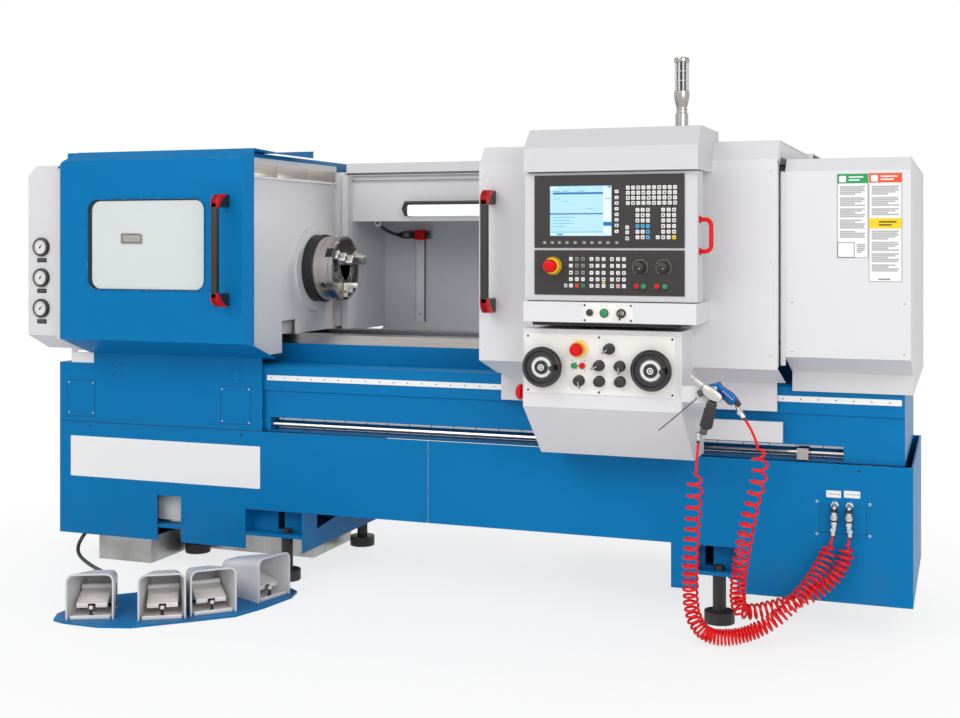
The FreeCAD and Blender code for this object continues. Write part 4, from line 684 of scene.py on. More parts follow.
def make_cable(name, node, body, points):
    """A plain cable along the route, in place of its node."""
    data = route_curve(name, points, CABLE)
    data.materials.append(LOOKS["cable_rubber"])
    cable = bpy.data.objects.new(name, data)
    show(cable)
    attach(cable, body)
    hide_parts(node)
    line = route_line(name + "_line", points)


surface("socket_dark", INK, 0.6, grain=300, edge=0)
LOOKS["socket"] = LOOKS["socket_dark"]
surface("white_paint", (238, 238, 238), 0.45, tone=0.02, edge=0.5)
surface("black_gloss", (26, 24, 24), 0.2, tone=0.1, patch=20, bump=0.02, edge=0.5, coat=0.3)
surface("chrome", (214, 212, 210), 0.12, 1, 0.05, 12, 200, 0.02, edge=0.5)
surface("yellow_plastic", YELLOW, 0.35, tone=0.05, patch=30, edge=0.4)
surface("green_plastic", GREEN, 0.3, tone=0.06, patch=30, edge=0.4)
surface("key_white", (226, 226, 224), 0.4, tone=0.04, patch=40, edge=0.3)
surface("key_grey", (128, 126, 124), 0.45, tone=0.06, patch=40, edge=0.3)
surface("key_blue", (70, 160, 205), 0.4, tone=0.06, patch=40, edge=0.3)
surface("key_red", (214, 60, 60), 0.4, tone=0.06, patch=40, edge=0.3)

# ---------------------------------------------------------------- headstock side


def make_pull(name, node, body):
    """A bent pull handle in black with a red insert round each bend."""
    low, high = box_mm(node)
    face, front = high.y, low.y
    bend, bar, foot, cap = 34, 20, 46, 48
    inner = front + bar
    top = arc((front + bend, high.z - bend), bend, 90, 180)
    bottom = arc((front + bend, low.z + bend), bend, 180, 270)
    outline = [(face, high.z), *top, *bottom, (face, low.z)]
    outline += [(face, low.z + foot), (inner + 6, low.z + foot), (inner, low.z + foot + 6)]
    outline += [(inner, high.z - foot - 6), (inner + 6, high.z - foot), (face, high.z - foot)]
    form = Form()
    form.prism(outline, "X", low.x + 0.8, high.x - 0.8, "black_plastic", 3)
    middle = (low.z + high.z) / 2
    upper = [(face - 8, high.z)] + arc((front + bend, high.z - bend), bend, 90, 180)
    upper += [(front, high.z - cap), (front + 10, high.z - cap - 3), (inner + 4, high.z - cap + 9)]
    upper += [(inner + 18, high.z - 20), (inner + 40, high.z - 7)]
    lower = [(y, 2 * middle - z) for y, z in upper]
    for points in (upper, lower):
        form.prism(points, "X", low.x, high.x, "red_plastic", 2.5)
    form.piece(name, body, replaces=node)


def make_window_trim():
    """The blue frame round the door's window, a dark rubber seal inside it drawn wider on the left and at
    the top as painted shade of the recessed edge, and the small plate on its glass.
    """
    glass = box_mm("door_window")[0].y
    form = Form()
    left, right, base, top = -1301, -795, 1064, 1402
    outer = rounded(left, base, right, top, 42)
    inner = rounded(left + 5, base + 3, right - 3, top - 3, 40)
    # the dark band is a thin seal on the right and below, and wider on the left and at the top as painted
    # shade of the window's recessed edge
    seal_and_shade = rounded(left + 20, base + 6, right - 5, top - 8, 36)
    form.frame(outer, inner, "Y", glass - 8, glass, "blue_enamel")
    form.frame(inner, seal_and_shade, "Y", glass - 1.5, glass, "cable_rubber")
    form.plate(-1155, 1235, -1060, 1276, 5, glass - 2.4, glass, "ground_steel", 0.6)
    form.border(-1150, 1240, -1065, 1271, 3, (4, 3), glass - 3.2, glass - 2.2, "dark_steel")
    form.piece("door_window_trim", "door")


GAUGE_X, GAUGE_BACK = -1552, -260
GAUGE_HEIGHTS = (1223, 1106, 989)


def make_gauges():
    """Three dial gauges with a black rim, a pale face, ticks and a needle, each over a plate."""
    form = Form()
    for i, z in enumerate(GAUGE_HEIGHTS):
        centre = (GAUGE_X, GAUGE_BACK, z)
        rim = [(-1, 36), (9, 36), (12.5, 34), (13.9, 31.5), (13.9, 28), (11, 27.5)]
        form.lathe(rim, centre, FRONT, "black_gloss", 48)
        form.lathe([(9, 28.5), (12.4, 28.5), (12.6, 27.5), (11.2, 24)], centre, FRONT, "ground_steel", 48)
        form.lathe([(9, 24.5), (11.3, 24.5)], centre, FRONT, "key_white", 48)
        for x, h in arc((GAUGE_X, z), 20.5, 225, -45, 10):
            form.lathe([(11, 1.3), (12, 1.3)], (x, GAUGE_BACK, h), FRONT, "socket", 8)
        lean = radians(52 - 3 * i)
        tip = (GAUGE_X + 17 * cos(lean), z + 17 * sin(lean))
        back = (GAUGE_X - 6 * cos(lean), z - 6 * sin(lean))
        side = (2.4 * sin(lean), -2.4 * cos(lean))
        needle = [tip, (back[0] + side[0], back[1] + side[1]), (back[0] - side[0], back[1] - side[1])]
        form.prism(needle, "Y", GAUGE_BACK - 12.6, GAUGE_BACK - 11.6, "black_gloss")
        form.lathe([(11, 4), (13, 3.2)], centre, FRONT, "black_gloss", 20)
        form.plate(
            GAUGE_X - 22, z - 59, GAUGE_X + 22, z - 42, 2, GAUGE_BACK - 1.2, GAUGE_BACK,
            "black_gloss", 0.4,
        )
        form.box(
            (GAUGE_X - 12, GAUGE_BACK - 1.7, z - 50), (GAUGE_X + 12, GAUGE_BACK - 1, z - 48.6),
            "key_grey",
        )
    form.piece("gauge_dials", "machine", replaces="pressure_gauges")


make_pull("door_pull", "door_handle", "door")
make_pull("guard_pull", "guard_handle", "carriage")
make_window_trim()
make_gauges()


# ---------------------------------------------------------------- operator station

surface("screen_glow", (178, 224, 248), 0.16, tone=0.015, patch=6, grain=900, bump=0, edge=0, coat=0.3)
surface("screen_bar", (10, 110, 180), 0.16, tone=0.04, patch=30, grain=900, bump=0, edge=0, coat=0.3)
surface("screen_pale", (222, 240, 250), 0.16, tone=0.02, patch=30, grain=900, bump=0, edge=0, coat=0.3)
surface("screen_mid", (96, 180, 222), 0.16, tone=0.02, patch=30, grain=900, bump=0, edge=0, coat=0.3)

HMI_FACE = -557
BAND_FACE = -570
PLATE_FACE = -514
KEY = 11.5


def key(form, x, z, width, height, look, face=HMI_FACE, mark=None, seed=0):
    """A membrane key, a little proud of its plate, with a small plain mark."""
    outline = rounded(x - width / 2, z - height / 2, x + width / 2, z + height / 2, 2.2, 2)
    form.prism(outline, "Y", face - 1.6, face, look, 0.45)
    if mark:
        stroke = ((3.4, 0.7), (0.8, 2.8), (2.4, 2.2), (1.4, 1.4))[seed % 4]
        form.box(
            (x - stroke[0], face - 1.9, z - stroke[1]), (x + stroke[0], face - 1.5, z + stroke[1]),
            mark,
        )


def make_screen():
    """The lit screen with plain bars and fields in place of its text."""
    form = Form()
    left, right, low, high = 571, 766, 1262, 1415
    face = HMI_FACE + 1.5

    def field(x0, x1, z0, z1, look, layer=1):
        corners = [(left + (right - left) * x, high - (high - low) * z) for x, z in ((x0, z0), (x1, z1))]
        (a, top), (b, base) = corners
        form.box((a, face - 0.35 - 0.12 * layer, base), (b, face - 0.3, top), look)

    form.box((left + 0.3, face - 0.35, low + 0.3), (right - 0.3, face, high - 0.3), "screen_glow")
    field(0, 0.13, 0.01, 0.07, "screen_pale")
    field(0.05, 0.86, 0.13, 0.17, "screen_bar")
    for start in (0.05, 0.20, 0.45):
        field(start, start + 0.11, 0.095, 0.115, "screen_mid")
    field(0, 0.86, 0.545, 0.57, "screen_bar")
    field(0.02, 0.86, 0.912, 0.925, "screen_mid")
    field(0.865, 0.995, 0.02, 0.98, "screen_pale")
    field(0.865, 0.995, 0.72, 0.80, "screen_bar", 2)
    field(0.93, 0.985, 0.01, 0.045, "screen_mid", 2)
    field(0.89, 0.985, 0.25, 0.268, "screen_mid", 2)
    for i in range(8):
        start = 0.01 + i * 0.107
        field(start, start + 0.095, 0.945, 0.985, "screen_mid" if i == 1 else "screen_pale")
    for row, shares in enumerate(((0.06, 0.16), (0.22, 0.30), (0.4, 0.415), (0.44, 0.455), (0.6, 0.7))):
        field(shares[0], shares[1], 0.25 + 0.05 * row, 0.262 + 0.05 * row, "screen_mid")
    for row, shares in enumerate(((0.05, 0.42), (0.05, 0.33), (0.05, 0.38), (0.05, 0.24))):
        field(shares[0], shares[1], 0.62 + 0.06 * row, 0.633 + 0.06 * row, "screen_mid")
    form.frame(
        rounded(left - 1.5, low - 1.5, right + 1.5, high + 1.5, 3, 2),
        rounded(left, low, right, high, 1.5, 2),
        "Y",
        HMI_FACE - 0.9,
        HMI_FACE,
        "black_plastic",
    )
    form.piece("screen_face", "panel")


def make_screen_keys():
    """The screen plate's soft keys, letter keys, number keys and cursor keys."""
    form = Form()
    white, grey, ink = "key_white", "key_grey", "socket"
    for i, z in enumerate((1396, 1378, 1361, 1344, 1327, 1311, 1294, 1276)):
        key(form, 781.5, z, 12, 10, white, mark=ink, seed=i)
    for x in (555, 579.5, 602, 626.5, 652, 680.5, 705, 729.5, 755, 782):
        key(form, x, 1242, 12, 9, grey, mark="key_white", seed=1)
    for column in range(10):
        for row in range(4):
            key(
                form, 816.1 + 15.9 * column, 1407 - 15.4 * row, KEY, KEY, white, mark=ink,
                seed=column + 3 * row,
            )
    rows = (1340.1, 1324.2, 1308.2, 1291.4, 1274.7, 1258.1)
    for row, z in enumerate(rows):
        for column in range(3):
            blue = row == 3 or (row > 3 and column == 2)
            look = "key_blue" if blue else white
            key(form, 845.5 + 15.9 * column, z, KEY, KEY, look, mark=ink, seed=row + column)
            last = "yellow_plastic" if row == 5 and column == 2 else white
            key(form, 923.5 + 16.4 * column, z, KEY, KEY, last, mark=ink, seed=row * 2 + column)
    key(form, 907, rows[-1], KEY, KEY, white, mark=ink)
    for i, z in enumerate((1288, 1273, 1254.6)):
        key(form, 814, z, 11, 11, white, mark=ink, seed=i)
    form.screws(
        [(x, z) for x in (527.5, 981.5) for z in (1232, 1336, 1441)], HMI_FACE, "dark_steel", 2.6,
        1.2,
    )
    form.piece("screen_keys", "panel")


def make_panel_keys():
    """The lower plate's key groups, coloured keys and small lamps."""
    form = Form()
    white, grey, ink = "key_white", "key_grey", "socket"
    columns = ((638.6, 657.6, 676.5), (703.3, 722.3, 741.3), (767, 786, 804))
    rows = (1192.5, 1172, 1150.8, 1131, 1111.3)
    for group, places in enumerate(columns):
        for row, z in enumerate(rows):
            for column, x in enumerate(places):
                look = grey if group == 0 and column and row < 3 else white
                if row == 4:
                    look = {(0, 1): "key_red", (0, 2): "green_plastic"}.get((group, column), look)
                    look = {(2, 1): "key_pink", (2, 2): "screen_pale"}.get((group, column), look)
                key(form, x, z, KEY, KEY, look, mark=ink, seed=group + row + column)
    key(form, 622, rows[-1], 10, 11, white, mark=ink, seed=2)
    key(form, 741.3, 1121, 10, 5, "yellow_plastic")
    form.lathe([(0, 2.2), (1.6, 2.2), (2.4, 1.2)], (638, HMI_FACE, 1204.6), FRONT, "key_red", 14)
    form.screws(
        [(x, z) for x in (527.5, 981.5) for z in (1089, 1150, 1213)], HMI_FACE, "dark_steel", 2.6,
        1.2,
    )
    form.piece("panel_keys", "panel")


def dial_dots(form, x, z, face, radius, count, first, sweep, size=1.4):
    """A ring of white dots round a dial."""
    for a, b in arc((x, z), radius, first, first - sweep, count - 1):
        form.lathe([(0, size), (0.4, size)], (a, face, b), FRONT, "key_white", 8)


def fluted(radius, depth, count, steps=4):
    """A round outline with shallow flutes."""
    total = count * steps
    turns = [2 * pi * i / total for i in range(total)]
    return [(radius + depth * cos(count * t)) * Vector((cos(t), sin(t))) for t in turns]


def fluted_knob(form, x, z, face, radius, height, pointer, look):
    """A fluted knob over a collar, with a pointer and its white line."""
    ridge = [(x + p.x, z + p.y) for p in fluted(radius - 0.8, 0.5, 18)]
    form.prism(ridge, "Y", face - height, face - 3, look, 1)
    form.lathe([(0, radius + 1.5), (2.4, radius + 1.5), (3.2, radius + 0.6)], (x, face, z), FRONT, look, 36)
    form.lathe([(0, radius * 0.72), (0.8, radius * 0.62)], (x, face - height, z), FRONT, look, 30)
    if pointer is None:
        return
    bar = spoke((x, z), pointer, 4 - radius, radius + 7, 4.5, 3)
    form.prism(bar, "Y", face - height - 1.6, face - height + 5, look, 1)
    line = spoke((x, z), pointer, 2, radius + 6, 0.8, 0.8)
    form.prism(line, "Y", face - height - 1.9, face - height - 1.5, "key_white")


def capped_button(form, x, z, face, radius, height, look, ring):
    """A domed push button in a turned ring."""
    form.lathe(
        [(0, radius + 2.2), (3.6, radius + 2.2), (4.4, radius + 1.2), (4.4, radius)], (x, face, z),
        FRONT, ring, 32,
    )
    form.lathe(
        [
            (0, radius), (height - 1.6, radius), (height - 0.4, radius - 1.2),
            (height + 0.5, radius * 0.5), (height + 0.7, 0),
        ],
        (x, face, z), FRONT, look, 32,
    )


def make_panel_dials():
    """Two fluted dials and four push buttons on the panel's lower plate."""
    form = Form()
    for x, z in ((853, 1169), (924, 1169)):
        fluted_knob(form, x, z, HMI_FACE, 16, 22.4, None, "black_plastic")
        form.lathe([(0, 1.5), (0.5, 1.5)], (x + 3, HMI_FACE - 23, z - 4), FRONT, "key_white", 12)
        dial_dots(form, x, z, HMI_FACE, 23, 15, 225, 270, 1.1)
    for x, look in (
        (841, "red_plastic"), (862, "green_plastic"), (903, "red_plastic"), (927, "green_plastic"),
    ):
        capped_button(form, x + 2, 1111, HMI_FACE, 7.6, 8.6, look, "dark_steel")
    form.piece("panel_dials", "panel")


def make_stop(name, node, head_body, ring_body, x, face, z):
    """A red mushroom button with its stem, and the yellow ring round its collar."""
    form = Form()
    ring = [(0, 14), (0, 28.2), (8, 28.2), (10.6, 27), (12.1, 24.8), (12.1, 14)]
    form.lathe(ring + [ring[0]], (x, face, z), FRONT, "yellow_plastic", 48)
    form.piece(f"{name}_ring", ring_body)
    low, high = box_mm(node)
    depth = high.y - low.y
    head = [
        (0, 13), (depth - 29, 13), (depth - 29, 16), (depth - 26, 19.4), (depth - 21, 20.4),
        (depth - 12, 20.4),
    ]
    head += [(depth - 6, 19.2), (depth - 2, 16), (depth - 0.4, 10), (depth, 0)]
    form = Form()
    form.lathe(head, (x, high.y, z), FRONT, "red_plastic", 48)
    form.piece(f"{name}_button", head_body, replaces=node)


def make_wheel(name, node, body, x, z):
    """A handwheel: a dished black disc with a white ring, a hub and its crank."""
    back = box_mm(node)[1].y

    def turned(points, look, sides):
        form.lathe([(back - y, radius) for y, radius in points], (x, back, z), FRONT, look, sides)

    dish = [(back, 12), (-514.3, 12), (-514.3, 23.8), (-532, 23.8), (-534.3, 30), (-534.3, 56)]
    dish += [(-537, 61), (-543, 63), (-550, 63), (-556.5, 60.5), (-560, 55.5), (-559, 51), (-553, 47.5)]
    dish += [(-551, 34), (-552, 31.2)]
    form = Form()
    turned(dish, "black_gloss", 64)
    turned([(-551.5, 31.2), (-553.6, 31.2), (-554.2, 30.4), (-554.2, 21.4), (-552, 20.8)], "key_white", 64)
    turned([(-551.5, 20.8), (-558, 20.8), (-560.3, 18), (-560.3, 10)], "black_gloss", 48)
    turned([(-559.5, 10), (-560.8, 10), (-560.8, 6.4), (-559.5, 6.4)], "key_white", 40)
    turned([(-559, 3.6), (-561.2, 3.6), (-561.8, 2.4)], "key_white", 24)
    for i in range(60):
        far = 35.6 if i % 5 == 0 else 34.4
        form.prism(spoke((x, z), 6 * i, 33, far, 0.35, 0.35), "Y", -551.6, -550.6, "key_white")
    crank = [(0, 4.5), (8, 4.5), (8.5, 6.8), (14, 8), (26, 7.6), (35, 8), (39, 6.4), (40, 3), (40, 0)]
    form.lathe(crank, (x + 39.1, -547.3, z), FRONT, "black_plastic", 28)
    form.piece(name, body, replaces=node)


surface("key_pink", (232, 160, 150), 0.4, tone=0.04, patch=40, edge=0.3)


def make_apron_controls():
    """The black selector knobs, the two push buttons and the screws of the apron's plate."""
    form = Form()
    knobs = (
        (748, 918, 215), (716, 866, 205), (781, 866, 270), (653, 818, 285), (717, 818, None),
        (782, 819, None),
    )
    for x, z, pointer in knobs:
        fluted_knob(form, x, z, PLATE_FACE, 16, 22.4, pointer, "black_plastic")
        if pointer is not None:
            dial_dots(form, x, z, PLATE_FACE, 24.5, 5, 150, 120, 1)
    for x, look in ((638, "green_plastic"), (663, "red_plastic")):
        capped_button(form, x, 864, PLATE_FACE, 9.6, 9, look, "chrome")
    form.screws(
        ((487, 952), (715, 952), (942, 952), (487, 784), (715, 784), (942, 784)), PLATE_FACE,
        "dark_steel", 3.6, 1.6,
    )
    for x in (630, 670):
        for z in (880, 848):
            form.lathe([(0, 1.6), (0.4, 1.6)], (x, PLATE_FACE, z), FRONT, "socket", 8)
    form.piece("apron_controls", "carriage")


def make_switch_plate():
    """The switch plate under the screen: a black button, a green button and a key switch."""
    form = Form()
    form.plate(680, 1002.5, 835, 1059.5, 2, BAND_FACE - 2.5, BAND_FACE, "cream_plate", 0.5, steps=2)
    face = BAND_FACE - 2.5
    capped_button(form, 702, 1031, face, 8.7, 9, "black_plastic", "dark_steel")
    capped_button(form, 747, 1030, face, 11.2, 6, "green_plastic", "black_plastic")
    form.lathe(
        [(0, 14), (6, 14), (8, 12.4), (8, 9.6), (6.4, 9)], (800, face, 1030), FRONT,
        "black_plastic", 40,
    )
    form.lathe([(4, 9), (7.2, 9), (7.8, 8.2), (7.8, 4.6)], (800, face, 1030), FRONT, "chrome", 36)
    form.lathe([(6, 4.6), (7, 4.6)], (800, face, 1030), FRONT, "socket", 24)
    form.plate(798.9, 1026, 801.1, 1034, 0.9, face - 13, face - 6.8, "chrome", steps=2)
    form.plate(798.6, 1010, 801.4, 1038, 1.3, face - 27, face - 13, "black_plastic", 0.6, steps=2)
    form.screws(((686, 1053), (829, 1053), (686, 1008), (829, 1008)), face, "dark_steel", 3.4, 1.6)
    for x in (739, 755, 784, 800, 816):
        form.lathe([(0, 1.3), (0.4, 1.3)], (x, face, 1054), FRONT, "socket", 8)
    form.piece("switch_plate", "carriage")


def make_station_gap_shade():
    """Dark strips in the gaps above and below the swinging panel and in the slot under the band below it:
    painted shade for the shadow in those gaps.
    """
    form = Form()
    # painted shade: dark rubber-coloured strips that stand for the shadow in the gaps
    form.box((500, -549, 1455.9), (1020, -478, 1458.2), "cable_rubber", 0.4)
    form.box((500, -549, 1061.8), (1016, -478, 1064.2), "cable_rubber", 0.4)
    form.box((500, -508, 986), (966, -362, 999.9), "cable_rubber")
    form.piece("station_gap_shade", "carriage")


make_screen()
make_screen_keys()
make_panel_keys()
make_panel_dials()
make_stop("panel_stop", "emergency_stop_1", "panel_stop", "panel", 581, HMI_FACE, 1171)
make_stop("apron_stop", "emergency_stop_2", "apron_stop", "carriage", 652, PLATE_FACE, 915)
make_wheel("left_wheel", "handwheel_left", "wheel_left", 543, 859)
make_wheel("right_wheel", "handwheel_right", "wheel_right", 884, 859)
make_apron_controls()
make_switch_plate()
make_station_gap_shade()


# ---------------------------------------------------------------- spindle, jaws and lamp


def glowing(name, colour, strength):
    """A plastic that gives off light: the work lamp's cover, and painted light where a part that is no lamp
    glows.
    """
    tree = surface(name, colour, 0.3, tone=0.02, patch=12, grain=300, bump=0.01, edge=0)
    tree.set(Emission_Color=shade(colour), Emission_Strength=strength)


glowing("lit_white", (250, 250, 250), 0.55)
surface("jaw_steel", (204, 198, 194), 0.28, 0.9, 0.1, 20, 300, 0.08, edge=0.6)
surface("turned_steel", (206, 198, 192), 0.24, 1, 0.12, 5, 200, 0.06, (16, 1, 1), edge=0.8)
surface("wall_steel", (186, 176, 168), 0.34, 0.7, 0.12, 5, 160, 0.05, (6, 1, 12), edge=0.4)
SPINDLE_Y, SPINDLE_Z = 260, 1139
CHUCK_FACE = -520


def spindle_turn(index):
    """The place of a jaw: the first points down and the others follow each third of a turn."""
    return Matrix.Translation((0, SPINDLE_Y, SPINDLE_Z)) @ Matrix.Rotation(radians(120 * index), 4, "X")


def make_chuck_details():
    """The black sleeve behind the chuck, the bands on its rim, jaw slots, key sockets and face screws."""
    form = Form()
    sleeve = [(0, 127), (0, 130.6), (28, 130.6), (28, 132.6), (40, 132.6), (40, 126)]
    form.lathe(sleeve + [sleeve[0]], (-643.7, SPINDLE_Y, SPINDLE_Z), RIGHT, "cable_rubber", 72)
    for along, wide, look in (
        (-600, 2, "dark_steel"), (-576, 1, "dark_steel"), (-536, 1.2, "dark_steel"),
        (-523, 3, "chrome"),
    ):
        band = [(0, 124.5), (0, 125.4), (wide, 125.4), (wide, 124.5)]
        form.lathe(band, (along, SPINDLE_Y, SPINDLE_Z), RIGHT, look, 72)
    for radius in (118, 66, 48):
        ring = [(0, radius - 1.2), (0.5, radius - 1.2), (0.5, radius), (0, radius)]
        form.lathe(ring + [ring[0]], (CHUCK_FACE, SPINDLE_Y, SPINDLE_Z), RIGHT, "chrome", 72)
    for index in range(3):
        form.at = spindle_turn(index)
        form.box((CHUCK_FACE, -18.5, -123), (CHUCK_FACE + 0.6, 18.5, -44), "socket")
        form.box((-551, -18.5, -125.4), (-521, 18.5, -119), "socket")
        form.lathe([(118, 13), (126.2, 13), (126.2, 9), (125.2, 8.5)], (-560, 0, 0), UP, "chrome", 28)
        form.prism(rounded(-566, -6, -554, 6, 1, 1), "Z", 125, 126.4, "socket")
        for side in (-34, 34):
            form.screw((CHUCK_FACE, side, -92), RIGHT, "dark_steel", 6.5, 1.6)
    form.at = Matrix()
    form.piece("chuck_details", "spindle_unit")


def make_jaw(index):
    """A hard jaw with three steps, gripping serrations and two sunk screws."""
    form = Form(spindle_turn(index))
    steps = [
        (-549.7, -57), (-549.7, -112), (-504, -112), (-504, -93.3), (-482, -93.3), (-482, -74.7),
        (-460, -74.7), (-460, -64), (-468, -56.2),
    ]
    form.prism(steps, "Y", -17, 17, "jaw_steel", 1.4)
    for x, radius in ((-504, 102.6), (-482, 84)):
        form.lathe([(0, 7.4), (0.5, 7.4), (0.5, 5.6)], (x, 0, -radius), RIGHT, "socket", 24)
        form.screw((x, 0, -radius), RIGHT, "dark_steel", 5.2, 1.5)
    for x0, x1, radius in ((-519, -505.5, 112), (-502.5, -483.5, 93.3), (-480.5, -462, 74.7)):
        count = int((x1 - x0) / 3.4)
        for i in range(count):
            x = x0 + 3.4 * i
            form.box((x, -15.6, -radius - 0.5), (x + 1.5, 15.6, -radius + 0.5), "chrome")
    for side in (-1, 1):
        form.box(
            (-519, min(17 * side, 17.4 * side), -104), (-506, max(17 * side, 17.4 * side), -62),
            "chrome",
        )
    form.piece(
        f"hard_jaw_{index + 1}", f"jaw_{index + 1}_body",
        replaces=f"jaw_{index + 1}",
    )


def make_work_lamp():
    """The machine light: a black hood, open below, round a lit white tube cover."""
    form = Form()
    hood = [
        (-352, 1375), (-340, 1405), (48, 1405), (48, 1391), (-330, 1391), (-338, 1375),
        (-330, 1345), (-340, 1345),
    ]
    form.prism(hood, "Y", 424, 470, "black_plastic", 1.2)
    cover = rounded(-329, 1345.5, 46, 1390.5, 9)
    form.prism(cover, "Y", 427, 466, "lit_white", 2.5)
    form.box((-328, 466, 1347), (46, 470, 1390), "grey_enamel", 0.6)
    form.piece("machine_light", "machine", replaces="work_lamp")


def make_door_switch():
    """The door switch on its post: a black head with a grey cap, a red block and a bracket."""
    form = Form()
    form.prism([(-459, 898), (-419, 898), (-419, 1262), (-459, 1262)], "Y", 824, 830, "white_paint", 1)
    form.box((-419, 822, 899), (-415.6, 830, 1255), "dark_steel")
    form.box((-460.4, 826, 899), (-459, 830, 1255), "dark_steel")
    form.plate(-511, 1256, -463, 1288, 3, 793, 826, "black_plastic", 1.2)
    form.plate(-503, 1263, -479, 1282, 2, 791, 793.4, "key_grey", 0.6)
    form.box((-463, 800, 1263), (-450, 822, 1282), "black_plastic", 1)
    form.plate(-452, 1250.4, -408, 1293, 4, 790, 826, "red_plastic", 1.8)
    form.box((-408, 798, 1260), (-400, 824, 1284), "black_plastic", 1)
    form.plate(-400, 1253, -386, 1291, 2, 806, 812, "dark_steel", 0.8)
    for z in (1258, 1286):
        form.screw((-393, 806, z), FRONT, "chrome", 3, 1.4)
    for z in (930, 1240):
        form.screw((-439, 824, z), FRONT, "chrome", 4, 1.6)
    form.piece("door_switch_head", "machine", replaces="door_switch")


def make_door_rim():
    """The turned-down rim of the sliding door's roof sheet."""
    form = Form()
    rim = [(-200, 1574.6), (-114, 1571.4), (168.6, 1593.4), (168.6, 1567.2), (-200, 1567.2)]
    form.prism(rim, "X", -616.5, -613.4, "blue_enamel")
    form.piece("door_rim", "door")


def make_wall_details():
    """The steel strip, round bar and seams of the splash wall, the folds over the rear wall, and on the
    rear wall a dark strip, a grey strip painted as the shade under its recess and a dark upright strip
    painted as the shade beside the post.
    """
    form = Form()
    for y0, y1 in ((-245, -48), (-46, 187), (189, 440)):
        form.box((-656, y0, 1481), (-654.4, y1, 1528), "wall_steel", 0.4)
    form.tube([(-650.5, -245, 1479), (-650.5, 440, 1479)], 5, "white_paint", 16)
    form.box((-662, -225, 1527), (-656.4, 577, 1566), "blue_enamel", 1)
    form.box((-1420, -215, 1564), (-662, 577, 1565.2), "blue_enamel")
    form.box((-610, 458.6, 1515), (1240, 460, 1523), "dark_steel")
    # painted shade: a grey strip for the shadow under the rear wall's recess
    form.box((-610, 457, 1489), (1240, 460, 1493), "key_grey")
    # painted shade: a dark upright strip for the shadow beside the post
    form.box((-612, 459, 1347), (-610, 461, 1500), "dark_steel")
    form.box((-656, 441, 898), (-613, 459.5, 1526), "grey_enamel", 0.6)
    for y in (120, 400):
        for z in (1010, 1268):
            form.screw((-656, y, z), RIGHT, "white_paint", 5, 1.8)
    for y, z in arc((SPINDLE_Y, SPINDLE_Z), 158, 30, 330, 5):
        form.screw((-644, y, z), RIGHT, "white_paint", 4.6, 1.6)
    form.piece("wall_details", "machine")


give("chuck_body", LOOKS["turned_steel"])
make_chuck_details()
for jaw_index in range(3):
    make_jaw(jaw_index)
make_work_lamp()
make_door_switch()
make_door_rim()
make_wall_details()


# ---------------------------------------------------------------- bed, base and cabinets

BASE_FACE = -140
RAIL_SCREWS, RAIL_PITCH = 41, 54.4
SCALE_TICKS, SCALE_PITCH = 24, 85
ROD_SCREWS, ROD_PITCH = 12, 170
LINE_PITCH = 5.6
surface("label_green", (20, 150, 80), 0.45, tone=0.04, patch=20, edge=0)
surface("label_orange", (232, 84, 36), 0.45, tone=0.04, patch=20, edge=0)
surface("label_ink", (172, 172, 172), 0.5, tone=0.04, patch=60, edge=0)
# painted light: the scales glow so that they read bright inside the shaded rod recess
glowing("scale_painted_glow", (240, 240, 240), 0.3)
surface("rail_steel", (240, 240, 240), 0.35, 0.2, 0.03, 8, 300, 0.03, edge=0.5)
surface("foot_rubber", (44, 41, 40), 0.5, 0.1, 0.2, 14, 300, 0.15, edge=1)
surface("hood_grey", (205, 205, 208), 0.42, tone=0.025, worn=(240, 240, 240), grime=0.4)
surface("treadle_steel", (236, 230, 226), 0.36, 0.15, 0.1, 20, 240, 0.1, edge=0.6)


def bed_look():
    """Blue enamel on the casting and ground steel on its ways."""
    tree = Tree("bed_enamel")
    steel = tree.span(tree.axis("Z"), 0.8562, 0.8566)
    broad = tree.noise(tree.place, 2.5, 4)
    brushed = tree.noise(tree.scaled((1, 30, 30)), 9, 4)
    enamel = tree.mix(broad, shade(BLUE, 0.96), shade(BLUE, 1.04))
    metal = tree.mix(brushed, shade(STEEL, 0.75), shade(STEEL, 1.25))
    tree.set(Base_Color=tree.mix(steel, enamel, metal), Metallic=steel)
    tree.set(Roughness=tree.span(steel, 0, 1, 0.36, 0.27))
    fine = tree.noise(tree.place, 240, 2)
    bump = tree.add("ShaderNodeBump", {"Strength": 0.05, "Distance": 0.001, "Height": fine})
    tree.set(Normal=bump.outputs[0], Specular_IOR_Level=0.12)
    return tree.material


def make_bed_details():
    """The rail strip's screws, the scales in the rod recess, which glow as painted light, and the dark
    joints along the bed.
    """
    form = Form()
    for i in range(RAIL_SCREWS):
        form.lathe([(0, 2.2), (0.5, 2.2)], (-630 + RAIL_PITCH * i, -133, 743.5), FRONT, "socket", 10)
    for z in (553, 581):
        # the glowing scales are painted light in the recess
        form.box((-636, -61.2, z), (1402, -60, z + 7), "scale_painted_glow")
        for i in range(SCALE_TICKS):
            form.box((-620 + SCALE_PITCH * i, -61.6, z), (-617.5 + SCALE_PITCH * i, -61.1, z + 7), "socket")
    for i in range(ROD_SCREWS):
        form.screw((-560 + ROD_PITCH * i, -61, 570), FRONT, "dark_steel", 3.4, 1.6)
    form.box((-1398, -121, 544.4), (1588, -120, 546.2), "socket")
    form.piece("bed_details", "machine")


def line_block(form, left, right, high, low, face):
    """Plain grey bars in place of a printed text."""
    count = int((high - low) / LINE_PITCH)
    for i in range(count):
        if i % 6 == 5:
            continue
        z = high - LINE_PITCH * i
        share = (1, 0.94, 0.98, 0.86, 0.6)[i % 5]
        form.box((left, face - 0.3, z - 4.2), (left + (right - left) * share, face, z), "label_ink")


